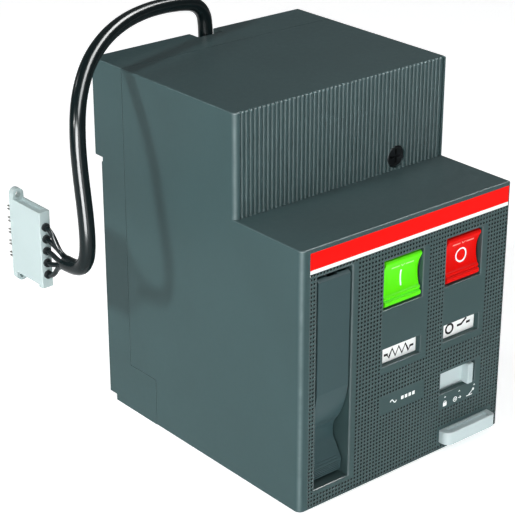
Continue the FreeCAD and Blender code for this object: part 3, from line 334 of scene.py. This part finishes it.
MATERIALS = {
    "red_film": film("red_film", (0.90, 0.004, 0.002), 0.35),
    "white_film": film("white_film", (0.90, 0.91, 0.90), 0.4),
    "label_white": film("label_white", (0.88, 0.90, 0.89), 0.45),
    "cable_black": rubber("cable_black", (0.004, 0.009, 0.010)),
    "seal_black": rubber("seal_black", (0.005, 0.009, 0.010), 0.4, 0.25),
    "black_steel": metal("black_steel", (0.022, 0.025, 0.027), 0.3),
    "steel_plate": metal("steel_plate", STEEL, 0.34, (1, 1, 14), 500.0, spots=0.35),
    "turned_steel": metal("turned_steel", (0.56, 0.57, 0.58), 0.26, (1, 9, 1)),
    "spring_steel": metal("spring_steel", (0.36, 0.37, 0.39), 0.3),
    "bronze": metal("bronze", (0.60, 0.36, 0.14), 0.38, spots=0.2),
    "dark_steel": metal("dark_steel", (0.15, 0.15, 0.16), 0.32),
    "cast_zinc": metal("cast_zinc", (0.48, 0.49, 0.50), 0.45, depth=0.02, scale=600.0),
    "board_green": board("board_green"),
    "contact_metal": metal("contact_metal", (0.34, 0.34, 0.32), 0.3),
}
for slot, (colour, rough, rest) in PLASTICS.items():
    MATERIALS[slot] = moulded(slot, colour, rough, **rest)
# painted shade: the dimples' deep walls and floors are coloured near black, standing in for the shade
# inside the pits
PIT_SHADE_PLASTIC = moulded("pit_painted_shade", (0.004, 0.011, 0.011), 0.6, painted_edge_highlight=0.0, specular=0.04)
# the openings' rounded edges: a glossier plastic, with a little painted highlight on its edges as well
EDGE_PLASTIC = moulded(
    "edge_plastic", (0.036, 0.068, 0.070), 0.22, depth=0.002, painted_edge_highlight=0.12, specular=0.45
)
INK = {
    "white": film("white_ink", (0.86, 0.90, 0.89), 0.5),
    "black": film("black_ink", (0.012, 0.012, 0.014), 0.5),
    "pale_green": film("pale_green_ink", (0.42, 0.92, 0.30), 0.5),
    "pale_red": film("pale_red_ink", (0.95, 0.30, 0.26), 0.5),
}
OWN_FINISH = {"plate_screws": "dark_steel"}  # darker than their slot, to show against the plate


def dress_cad_nodes():
    """Gives every CAD node its slot's material, or the one that is its own."""
    for part in frame["record"]["subparts"]:
        piece = frame["nodes"][part["node"]]
        finish = OWN_FINISH.get(part["node"], part["material_slot"])
        piece.data.materials.clear()
        piece.data.materials.append(MATERIALS[finish])


# ---- front plate --------------------------------------------------------------------------------
DIMPLE_PITCH_X, DIMPLE_PITCH_Z = 1.914, 1.95
# a dimple's inside takes the near-black painted-shade material
SHADED_PIT, EDGE = 1, 2  # the materials of a dimple's inside and of a rounded edge
DIMPLE_RINGS = ((0.77, 0.0), (0.68, 0.1), (0.5, 1.3))  # (radius, depth) of its mouth, lip and floor
RIM = 0.35  # rounding of the plate's outer edge
ROUNDED_OPENINGS = [  # each with the rounding of its edge
    (GREEN, BUTTON_EDGE_R),
    (RED, BUTTON_EDGE_R),
    (CHARGE_WINDOW, 0.5),
    (STATE_WINDOW, 0.5),
    (SELECTOR_WINDOW, 0.6),
    (SLIDE_OPENING, 0.3),
]
WELL_EDGE_R = 0.9
WELL_MOUTH = grown(WELL, *[WELL_EDGE_R] * 4)
GREEN_MOUTH, RED_MOUTH = grown(GREEN, *[BUTTON_EDGE_R] * 4), grown(RED, *[BUTTON_EDGE_R] * 4)
# borders of the smooth zones, which have no dimples; the lattice starts afresh at each border
WELL_X, GREEN_X, RED_X = (WELL_MOUTH[0], -31.7), (GREEN_MOUTH[0], 12.7), (RED_MOUTH[0], 51.0)
WELL_Z, BUTTONS_Z = (7.0, WELL_MOUTH[3]), (54.9, GREEN_MOUTH[3])
RATING_Z, MODES_Z = (33.5, 42.8), (22.3, 42.8)
ZONES_X = (*WELL_X, *GREEN_X, *RED_X)
ZONES_Z = (WELL_Z[0], MODES_Z[0], *RATING_Z, *BUTTONS_Z, WELL_Z[1])
SMOOTH_ZONES = [
    (*WELL_X, *WELL_Z),
    (*GREEN_X, *BUTTONS_Z),
    (*RED_X, *BUTTONS_Z),
    (*GREEN_X, *RATING_Z),
    (*RED_X, *MODES_Z),
]


def lattice(borders, pitch):
    """Lines about a pitch apart that pass through every border."""
    lines = [borders[0]]
    for low, high in zip(borders, borders[1:]):
        count = round((high - low) / pitch)
        lines += [low + (high - low) * (i + 1) / count for i in range(count)]
    return lines


def inside(rect, x, z):
    return rect[0] < x < rect[1] and rect[2] < z < rect[3]


def meets(rect, x0, x1, z0, z1):
    """Whether a rectangle and a cell share more than a hair."""
    hair = 1e-4
    across = rect[0] < x1 - hair and rect[1] > x0 + hair
    return across and rect[2] < z1 - hair and rect[3] > z0 + hair


class Plate:
    """The front plate as one closed mesh: dimples, openings with rounded edges, a well."""

    def __init__(self):
        self.bm = bmesh.new()
        self.known = {}  # vertices by place
        self.reach = (PLATE[0], PLATE[1], PLATE[2], STRIP_FOOT)
        x0, x1, z0, z1 = self.reach
        self.xs = lattice((x0, *ZONES_X, x1), DIMPLE_PITCH_X)
        self.zs = lattice((z0, *ZONES_Z, z1), DIMPLE_PITCH_Z)
        self.well_back = grown(WELL, *[WELL_SKIN] * 4)
        self.mouths = [grown(rect, *[r] * 4) for rect, r in ROUNDED_OPENINGS]
        rects = self.mouths + [rect for rect, _ in ROUNDED_OPENINGS]
        rects += [WELL_MOUTH, WELL, self.well_back]
        self.cuts_x = sorted({round(v, 4) for rect in rects for v in rect[:2]})
        self.cuts_z = sorted({round(v, 4) for rect in rects for v in rect[2:]})

    def vert(self, x, y, z):
        key = (round(x, 3), round(y, 3), round(z, 3))
        if key not in self.known:
            self.known[key] = self.bm.verts.new((x, y, z))
        return self.known[key]

    def face(self, points, material=0):
        """A face through distinct points. Points that fall together count once."""
        ring = []
        for p in points:
            v = self.vert(*p)
            if v not in ring:
                ring.append(v)
        if len(ring) > 2:
            self.bm.faces.new(ring).material_index = material

    def span(self, lines, cuts, i):
        """A cell's two lines, with the cuts between them."""
        low, high = lines[i], lines[i + 1]
        return [low] + [c for c in cuts if low + 1e-3 < c < high - 1e-3] + [high]

    def touched(self, i, j, rects):
        """Whether a cell exists and one of the rects reaches into it."""
        if not (0 <= i < len(self.xs) - 1 and 0 <= j < len(self.zs) - 1):
            return False
        cell = self.xs[i], self.xs[i + 1], self.zs[j], self.zs[j + 1]
        return any(meets(rect, *cell) for rect in rects)

    def outline(self, i, j, rects):
        """A whole cell's corners, with the points where a cut neighbour's lines meet its sides."""
        x = self.span(self.xs, self.cuts_x, i)
        z = self.span(self.zs, self.cuts_z, j)
        low = x if self.touched(i, j - 1, rects) else [x[0], x[-1]]
        high = x if self.touched(i, j + 1, rects) else [x[0], x[-1]]
        left = z if self.touched(i - 1, j, rects) else [z[0], z[-1]]
        right = z if self.touched(i + 1, j, rects) else [z[0], z[-1]]
        sides = [[(v, z[0]) for v in low], [(x[-1], v) for v in right]]
        sides += [[(v, z[-1]) for v in reversed(high)], [(x[0], v) for v in reversed(left)]]
        return sides

    def sheet(self, rects, y, trim=0.0, dimples=False, keep=None):
        """A flat sheet at depth y with the rects left out, or only the keep rect filled."""
        x0, x1, z0, z1 = self.reach

        def fit(x, z):
            return min(max(x, x0 + trim), x1 - trim), y, min(max(z, z0 + trim), z1 - trim)

        for i in range(len(self.xs) - 1):
            for j in range(len(self.zs) - 1):
                if self.touched(i, j, rects):
                    self.cut_cell(i, j, rects, keep, fit)
                elif keep is None:
                    self.whole_cell(i, j, rects, dimples, fit)

    def cut_cell(self, i, j, rects, keep, fit):
        x = self.span(self.xs, self.cuts_x, i)
        z = self.span(self.zs, self.cuts_z, j)
        for a, b in zip(x, x[1:]):
            for c, d in zip(z, z[1:]):
                middle = (a + b) / 2, (c + d) / 2
                in_rects = any(inside(rect, *middle) for rect in rects)
                if inside(keep, *middle) if keep else not in_rects:
                    self.face([fit(a, c), fit(b, c), fit(b, d), fit(a, d)])

    def whole_cell(self, i, j, rects, dimples, fit):
        sides = self.outline(i, j, rects)
        x, z = (self.xs[i] + self.xs[i + 1]) / 2, (self.zs[j] + self.zs[j + 1]) / 2
        if not dimples or any(inside(zone, x, z) for zone in SMOOTH_ZONES):
            self.face([fit(*p) for side in sides for p in side[:-1]])
            return
        rings = []
        fill = min(self.xs[i + 1] - self.xs[i], self.zs[j + 1] - self.zs[j]) / DIMPLE_PITCH_X
        turns = [math.radians(-135 + 45 * k) for k in range(8)]
        for r, y in DIMPLE_RINGS:
            r *= min(fill, 1.0)
            rings.append([(x + r * math.cos(t), y, z + r * math.sin(t)) for t in turns])
        for k, side in enumerate(sides):
            arc = [rings[0][(2 * k + step) % 8] for step in (2, 1, 0)]
            self.face([fit(*p) for p in side] + arc)
        for outer, inner in zip(rings, rings[1:]):
            for k in range(8):
                n = (k + 1) % 8
                # the deepest ring and the floor of each dimple are painted shade
                material = SHADED_PIT if inner is rings[-1] else 0
                self.face([outer[k], outer[n], inner[n], inner[k]], material)
        self.face(rings[-1], SHADED_PIT)

    def loops(self, rect, y):
        """The sheet's open edges at depth y that lie on a rectangle."""
        found = []
        for edge in self.bm.edges:
            if len(edge.link_faces) != 1:
                continue
            a, b = (v.co for v in edge.verts)
            if abs(a.y - y) > 1e-3 or abs(b.y - y) > 1e-3:
                continue
            if all(on_border(rect, p.x, p.z) for p in (a, b)):
                found.append((a.copy(), b.copy()))
        return found

    def wall(self, rect, start, steps, outward=False):
        """Walls from the open edges on a rectangle, through (inset, depth) steps. The last is plain."""
        for a, b in self.loops(rect, start):
            previous = [tuple(a), tuple(b)]
            for step, (inset, depth) in enumerate(steps, 1):
                move = push_out if outward else pull_in
                current = [move(rect, p, inset, depth) for p in (a, b)]
                material = EDGE if step < len(steps) else 0
                self.face([previous[0], previous[1], current[1], current[0]], material)
                previous = current

    def build(self):
        openings = self.mouths + [WELL_MOUTH]
        self.sheet(openings, 0.0, trim=RIM, dimples=True)
        through = [rect for rect, _ in ROUNDED_OPENINGS]
        self.sheet(through + [self.well_back], PLATE_THICK)
        self.sheet([WELL], WELL_DEPTH, keep=WELL)
        self.sheet([self.well_back], WELL_DEPTH + WELL_SKIN, keep=self.well_back)
        for mouth, (_, r) in zip(self.mouths, ROUNDED_OPENINGS):
            self.wall(mouth, 0.0, quarter(r) + [(r, PLATE_THICK)])
        self.wall(WELL_MOUTH, 0.0, quarter(WELL_EDGE_R) + [(WELL_EDGE_R, WELL_DEPTH)])
        self.wall(self.well_back, PLATE_THICK, [(0.0, WELL_DEPTH + WELL_SKIN)])
        x0, x1, z0, z1 = self.reach
        edge = (x0 + RIM, x1 - RIM, z0 + RIM, z1 - RIM)
        self.wall(edge, 0.0, quarter(RIM) + [(RIM, PLATE_THICK)], outward=True)
        return self.bm


NEAR = 2e-3  # two places that are this close count as one


def on_border(rect, x, z):
    on_x = min(abs(x - rect[0]), abs(x - rect[1])) < NEAR and rect[2] - NEAR < z < rect[3] + NEAR
    on_z = min(abs(z - rect[2]), abs(z - rect[3])) < NEAR and rect[0] - NEAR < x < rect[1] + NEAR
    return on_x or on_z


def quarter(r):
    """(inset, depth) points of a rounded edge."""
    turns = [math.pi / 8 * k for k in range(1, 5)]
    return [(r * math.sin(t), r - r * math.cos(t)) for t in turns]


def pull_in(rect, p, inset, depth):
    """A border point moved into the rectangle."""
    x = min(max(p.x, rect[0] + inset), rect[1] - inset)
    z = min(max(p.z, rect[2] + inset), rect[3] - inset)
    return x, depth, z


def push_out(rect, p, inset, depth):
    """A border point moved out of the rectangle."""
    x = p.x + inset * ((abs(p.x - rect[1]) < NEAR) - (abs(p.x - rect[0]) < NEAR))
    z = p.z + inset * ((abs(p.z - rect[3]) < NEAR) - (abs(p.z - rect[2]) < NEAR))
    return x, depth, z


def front_plate():
    """The plate, with a ledge under the red strip, a rim above it, and a slot for the gear sector."""
    piece = add_mesh("fascia_panel", Plate().build(), "operator", "fascia_plastic", sharp=50)
    # the second material is the dimples' painted shade, the third the openings' rounded edges
    piece.data.materials.append(PIT_SHADE_PLASTIC)
    piece.data.materials.append(EDGE_PLASTIC)
    x0, x1, _, top = PLATE
    ledge_y, rim_y, overlap, hair = 0.4, 1.0, 0.05, 0.01
    ledge = box_mesh(x0, x1, ledge_y, PLATE_THICK, STRIP_FOOT - overlap, top)
    combine(piece, ledge, "UNION")
    rim = box_mesh(x0 + hair, x1, 0.0, rim_y, STRIP_TOP + overlap, top - hair)
    combine(piece, rim, "UNION")
    sector_x0, sector_x1 = extent("lever_sector")[:2]
    slot = box_mesh(sector_x0 - 0.7, sector_x1 + 0.7, 9.0, 21.0, 74.0, 126.0)
    combine(piece, slot, "DIFFERENCE")
    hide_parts("front_fascia")
    return piece


# ---- printed marks ------------------------------------------------------------------------------
class Print:
    """Ink on a piece's front: shapes in the x-z plane, laid on the surface behind them."""

    def __init__(self, piece):
        self.tree = BVHTree.FromPolygons(
            [v.co for v in piece.data.vertices], [face.vertices for face in piece.data.polygons]
        )
        self.bm = bmesh.new()

    def surface(self, x, z):
        return self.tree.ray_cast(at(x, -9, z), Vector((0, 1, 0)))[0].y / MM - FACE_Y

    def patch(self, rows, full_turn=False):
        """A closed skin from rows of (x, z) points. After a full turn it needs no ends."""
        proud, sunk = 0.035, 0.1
        tops, feet = [], []
        for row in rows:
            ys = [self.surface(*p) for p in row]
            tops.append([self.bm.verts.new((p[0], y - proud, p[1])) for p, y in zip(row, ys)])
            feet.append([self.bm.verts.new((p[0], y + sunk, p[1])) for p, y in zip(row, ys)])
        last, end = len(rows) - 1, len(rows[0]) - 1
        for i in range(last):
            for j in range(end):
                for layer in (tops, feet):
                    near, far = layer[i], layer[i + 1]
                    self.bm.faces.new((near[j], near[j + 1], far[j + 1], far[j]))
        for i in range(last):
            for j in (0, end):
                self.bm.faces.new((tops[i][j], tops[i + 1][j], feet[i + 1][j], feet[i][j]))
        for j in range(end):
            for i in () if full_turn else (0, last):
                self.bm.faces.new((tops[i][j], tops[i][j + 1], feet[i][j + 1], feet[i][j]))

    def bar(self, x0, x1, z0, z1):
        """An upright bar, in short pieces so that it follows a curved face."""
        count = max(1, round((z1 - z0) / 0.8))
        levels = [z0 + (z1 - z0) * i / count for i in range(count + 1)]
        self.patch([[(x0, z), (x1, z)] for z in levels])
        return self

    def stroke(self, points, width):
        """A line of that width through the points."""
        rows = []
        for i, (x, z) in enumerate(points):
            a, b = points[max(i - 1, 0)], points[min(i + 1, len(points) - 1)]
            run = Vector((b[0] - a[0], b[1] - a[1])).normalized() * width / 2
            rows.append([(x - run.y, z + run.x), (x + run.y, z - run.x)])
        self.patch(rows)
        return self

    def ring(self, x, z, r, width, turns=(0, 360), count=40):
        """A ring, or an arc between two angles in degrees."""
        rows = []
        for i in range(count + 1):
            t = math.radians(turns[0] + (turns[1] - turns[0]) * i / count)
            rows.append([(x + k * math.cos(t), z + k * math.sin(t)) for k in (r, r - width)])
        self.patch(rows, full_turn=turns[1] - turns[0] == 360)
        return self

    def disc(self, x, z, r):
        return self.ring(x, z, r, r * 0.98, count=24)

    def zigzag(self, x0, x1, z, height, count, width):
        """A spring seen from the side, with straight ends."""
        step = (x1 - x0) / (count + 2)
        points = [(x0, z), (x0 + step, z)]
        for i in range(count):
            points.append((x0 + step * (i + 1.5), z + height * (0.5 if i % 2 else -0.5)))
        points += [(x1 - step, z), (x1, z)]
        return self.stroke(points, width)

    def done(self, name, body, ink, slot):
        bmesh.ops.remove_doubles(self.bm, verts=self.bm.verts, dist=1e-4)
        piece = add_mesh(name, self.bm, body, slot)
        piece.data.materials[0] = INK[ink]
        return piece


def button_marks():
    """A bar for ON and a ring for OFF, each under a press mark."""
    x, z = (GREEN[0] + GREEN[1]) / 2, (GREEN[2] + GREEN[3]) / 2
    Print(frame["nodes"]["on_button"]).bar(x - 0.1, x + 0.8, z - 3.8, z + 4.0).done(
        "mark_on", "on_button", "white", "white_film"
    )
    press_mark("on_button", x + 0.6, z + 6.6).done(
        "mark_press_on", "on_button", "pale_green", "white_film"
    )
    x = (RED[0] + RED[1]) / 2
    Print(frame["nodes"]["off_button"]).ring(x + 0.6, z + 0.2, 3.7, 0.8).done(
        "mark_off", "off_button", "white", "white_film"
    )
    press_mark("off_button", x + 0.6, z + 6.9).done(
        "mark_press_off", "off_button", "pale_red", "white_film"
    )


def press_mark(node, x, z):
    """Two dashes and an arrow head: press here."""
    mark = Print(frame["nodes"][node])
    mark.bar(x - 7.0, x - 2.0, z - 0.35, z + 0.35)
    mark.bar(x + 2.0, x + 7.0, z - 0.35, z + 0.35)
    return mark.stroke([(x - 1.1, z + 0.6), (x, z - 0.5), (x + 1.1, z + 0.6)], 0.55)


def flag_marks():
    """A relaxed spring and an open contact show at rest; the others drop into the windows."""
    x0, x1, z0, z1 = CHARGE_WINDOW
    x0, z = x0 + 2.6, (z0 + z1) / 2 - 0.9
    Print(frame["nodes"]["charge_flag"]).zigzag(x0 + 1.2, x1 - 1.2, z, 4.2, 7, 1.25).done(
        "mark_spring_relaxed", "charge_flag", "black", "label_white"
    )
    Print(frame["nodes"]["charge_flag"]).zigzag(x0 + 4, x1 - 4, z + FLAG_DROP, 4.2, 12, 0.6).done(
        "mark_spring_wound", "charge_flag", "black", "label_white"
    )
    x = STATE_WINDOW[0] + 7.1
    z = (STATE_WINDOW[2] + STATE_WINDOW[3]) / 2 - 0.4
    off = Print(frame["nodes"]["position_flag"]).ring(x, z, 2.9, 1.1)
    off.bar(x + 5.2, x + 8.2, z - 0.6, z + 0.6)
    off.bar(x + 11.4, x + 14.0, z - 0.6, z + 0.6)
    off.stroke([(x + 8.0, z), (x + 11.4, z + 2.5)], 1.1)
    off.done("mark_state_off", "position_flag", "black", "label_white")
    z += FLAG_DROP
    on = Print(frame["nodes"]["position_flag"]).bar(x - 0.5, x + 0.5, z - 2.6, z + 2.6)
    on.bar(x + 5.6, x + 13.8, z - 0.4, z + 0.4)
    on.done("mark_state_on", "position_flag", "black", "label_white")


def plate_marks(panel):
    """White marks printed on the front plate: the rating, and a padlock, motor and lever."""
    x, z = -9.2, 38.3
    wave = [(x + 0.25 * i, z + 0.9 * math.sin(i * math.pi / 8)) for i in range(17)]
    rating = Print(panel).stroke(wave, 0.5)
    for i in range(4):
        rating.bar(x + 7.0 + 2.4 * i, x + 8.6 + 2.4 * i, z - 0.9, z + 0.9)
    rating.done("mark_rating", "operator", "white", "white_film")

    mode = Print(panel)
    for x in (27.6, 37.3, 47.6):  # a small arrow head over each
        mode.stroke([(x - 0.45, 28.0), (x, 28.6), (x + 0.45, 28.0)], 0.4)
    mode.bar(26.4, 28.8, 23.4, 25.3)
    mode.ring(27.6, 25.3, 1.0, 0.35, (0, 180), 12)
    mode.ring(34.6, 24.7, 1.35, 0.4)
    mode.disc(34.6, 24.7, 0.5)
    mode.stroke([(36.8, 24.7), (38.4, 24.7)], 0.4)
    mode.stroke([(37.9, 25.4), (38.6, 24.7), (37.9, 24.0)], 0.35)
    mode.stroke([(42.4, 23.6), (46.4, 23.6)], 0.4)
    mode.stroke([(44.0, 23.7), (46.6, 25.8)], 0.45)
    mode.disc(47.0, 26.1, 0.7)
    mode.done("mark_modes", "operator", "white", "white_film")


# ---- cable --------------------------------------------------------------------------------------
CABLE_R = 3.7
WIRE_R, WIRE_SPACE_R = 1.2, 1.3  # a wire, and the room it takes in the sleeve
CABLE_ROUTE = [  # from the grommet to the end of the sleeve, as in the CAD model
    (1, 148.5, 176),
    (1, 148.5, 183),
    (0, 148.5, 190.5),
    (-5.5, 148.2, 195.8),
    (-14, 147, 198),
    (-27, 145, 199.5),
    (-42, 141.5, 200),
    (-58, 136, 199),
    (-74, 129, 195.5),
    (-89, 120.5, 188.5),
    (-101, 111, 177),
    (-107, 104, 161.5),
    (-108, 101, 145),
    (-109, 97, 129),
    (-110, 94.5, 115.5),
    (-110.5, 95.5, 106),
    (-111, 101.5, 100),
    (-111, 112, 100),
]


def smooth_curve(name, points, radius, slot):
    """A round NURBS line through drawing points."""
    data = bpy.data.curves.new(name, "CURVE")
    data.dimensions = "3D"
    data.resolution_u = 12
    data.bevel_depth = radius * MM
    data.bevel_resolution = 7
    data.use_fill_caps = True
    line = data.splines.new("NURBS")
    line.points.add(len(points) - 1)
    for point, spot in zip(line.points, points):
        point.co = (*at(*spot), 1.0)
    line.order_u = 3
    line.use_endpoint_u = True
    piece = bpy.data.objects.new(name, data)
    bpy.context.scene.collection.objects.link(piece)
    return dress(piece, "operator", slot)


def wires():
    """Five wires that fan from the sleeve's end to the plug."""
    end = Vector(CABLE_ROUTE[-1])
    ring = WIRE_SPACE_R / math.sin(math.radians(36)) + 0.05
    starts = []
    for turn in (90, 18, 162, -54, -126):  # five in a ring that just fits inside the sleeve
        a = math.radians(turn)
        starts.append(end + Vector((ring * math.cos(a), 0, ring * math.sin(a))))
    starts.sort(key=lambda spot: -spot.z)
    x0, x1, y0, _, z0, z1 = extent("wire_seals")
    hole_x, lip = (x0 + x1) / 2, 2.0
    made = []
    for i, start in enumerate(starts):
        hole_z = z1 - lip - (z1 - z0 - 2 * lip) * i / 4
        finish = Vector((hole_x, y0, hole_z))
        straight = Vector((0, 3.4, 0))
        points = [start - Vector((0, 1.5, 0)), start + straight]
        points += [finish - straight, finish + Vector((0, 0.8, 0))]
        made.append(smooth_curve(f"wire_{i + 1}", points, WIRE_R, "cable_black"))
    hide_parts("connector_wires")
    return made


def cable():
    sleeve = smooth_curve("sleeve", CABLE_ROUTE, CABLE_R, "cable_black")
    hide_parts("cable_sleeve")
    plug_nodes = ("connector_housing", "connector_contacts", "wire_seals")
    plug = [frame["nodes"][node] for node in plug_nodes]
    wires() + plug


# ---- springs ------------------------------------------------------------------------------------
def coil_mesh(bm, foot, along, mean_r, wire_r, turns):
    """A closed coil from foot, along a vector as long as the spring."""
    axis = along.normalized()
    side = axis.orthogonal().normalized()
    across = axis.cross(side)
    steps, round_steps = int(turns * 20), 8
    rise = along.length - 2 * wire_r
    rings = []
    for i in range(steps + 1):
        t = 2 * math.pi * turns * i / steps
        out = side * math.cos(t) + across * math.sin(t)
        middle = foot + out * mean_r + axis * (wire_r + rise * i / steps)
        ring = []
        for k in range(round_steps):
            u = 2 * math.pi * k / round_steps
            ring.append(bm.verts.new(middle + (out * math.cos(u) + axis * math.sin(u)) * wire_r))
        rings.append(ring)
    for a, b in zip(rings, rings[1:]):
        for k in range(round_steps):
            n = (k + 1) % round_steps
            bm.faces.new((a[k], a[n], b[n], b[k]))
    bm.faces.new(rings[0])
    bm.faces.new(rings[-1])


def springs():
    """The closing springs and the button springs, drawn as coils in place of their CAD nodes."""
    x0, x1, y0, y1, z0, z1 = extent("closing_springs")
    bm = bmesh.new()
    r, wire_r = (x1 - x0) / 2, 1.0
    for y in (y0 + r, y1 - r):
        foot = Vector(((x0 + x1) / 2, y, z0))
        coil_mesh(bm, foot, Vector((0, 0, z1 - z0)), r - wire_r, wire_r, turns=8)
    pair = add_mesh("closing_spring_pair", bm, "operator", "spring_steel")
    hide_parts("closing_springs")
    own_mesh(pair)
    for button in ("on_button", "off_button"):
        x0, x1, y0, y1, z0, z1 = extent(button + "_spring")
        bm = bmesh.new()
        foot = Vector(((x0 + x1) / 2, y1, (z0 + z1) / 2))
        coil_mesh(bm, foot, Vector((0, y0 - y1, 0)), mean_r=4.0, wire_r=0.4, turns=5)
        spring = add_mesh(button + "_coil", bm, "operator", "spring_steel")
        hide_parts(button + "_spring")
        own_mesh(spring)


# ---- stage --------------------------------------------------------------------------------------
EYE = (-0.5075, -0.5742, 0.4251)  # where the photograph was taken from, fitted to its straight edges
LOOK = Vector((0.5855, 0.7013, -0.4066))
LAMP_AIM = Vector((0, 0, 0.09))  # the middle of the object


def camera():
    data = bpy.data.cameras.new("camera")
    data.lens, data.sensor_width = 120.5, 36.0
    eye = bpy.data.objects.new("camera", data)
    eye.location = EYE
    eye.rotation_mode = "QUATERNION"
    eye.rotation_quaternion = LOOK.to_track_quat("-Z", "Y")
    bpy.context.scene.collection.objects.link(eye)
    bpy.context.scene.camera = eye


def floor():
    """A plain floor that glows a little, so that it comes out as white as the photograph's."""
    bm = bmesh.new()
    bmesh.ops.create_grid(bm, x_segments=8, y_segments=8, size=3.0)
    mesh = bpy.data.meshes.new("floor")
    bm.to_mesh(mesh)
    bm.free()
    ground = bpy.data.objects.new("floor", mesh)
    s = Shader("floor", specular=0.2)
    pale = s.mix(s.remap(s.noise(2.0), 0.0, 1.0), (0.86, 0.86, 0.86, 1), (0.89, 0.89, 0.89, 1))
    s.feed(s.shader.inputs["Emission Color"], (1, 1, 1, 1))
    s.feed(s.shader.inputs["Emission Strength"], 0.58)
    sheen = s.remap(s.noise(5.0), 0.7, 0.8)
    mesh.materials.append(s.finish(pale, sheen, s.bump(s.noise(300.0), 0.02)))
    bpy.context.scene.collection.objects.link(ground)


def lamp(name, spot, size, power, only_gleam=False):
    """An area lamp that faces the object. One that is only a gleam shows in reflections alone."""
    data = bpy.data.lights.new(name, "AREA")
    data.shape = "RECTANGLE"
    data.size, data.size_y = size
    data.energy = power
    light = bpy.data.objects.new(name, data)
    light.location = spot
    light.rotation_mode = "QUATERNION"
    light.rotation_quaternion = (LAMP_AIM - Vector(spot)).to_track_quat("-Z", "Y")
    light.visible_diffuse = not only_gleam
    bpy.context.scene.collection.objects.link(light)


def studio():
    world = bpy.data.worlds.new("studio")
    bpy.context.scene.world = world
    world.use_nodes = True
    sky = world.node_tree.nodes["Background"]
    sky.inputs["Color"].default_value = (0.95, 0.98, 1.0, 1)
    sky.inputs["Strength"].default_value = 0.16
    lamp("key", (-1.25, 0.04, 0.82), (0.14, 0.14), 12.5)
    lamp("overhead", (0.37, -0.41, 1.17), (1.8, 0.2), 2)
    lamp("strip", (-0.35, -1.4, 0.35), (0.3, 1.0), 10)
    lamp("rim", (-0.64, 1.12, 1.02), (0.25, 0.25), 3)
    lamp("gleam_left", (-1.1, -0.9, 0.40), (0.8, 1.3), 260, only_gleam=True)
    lamp("gleam_above", (0.35, -0.42, 1.25), (2.1, 0.5), 150, only_gleam=True)
    bpy.context.scene.view_settings.view_transform = "Standard"


camera()
studio()
floor()
dress_cad_nodes()
cable()
panel = front_plate()
button_marks()
flag_marks()
plate_marks(panel)
springs()
soften("charging_lever", 0.5)
soften("on_button", 0.45)
soften("off_button", 0.45)
soften("padlock_slide", 0.35)
soften("mode_selector", 0.3)
soften("connector_housing", 0.3)
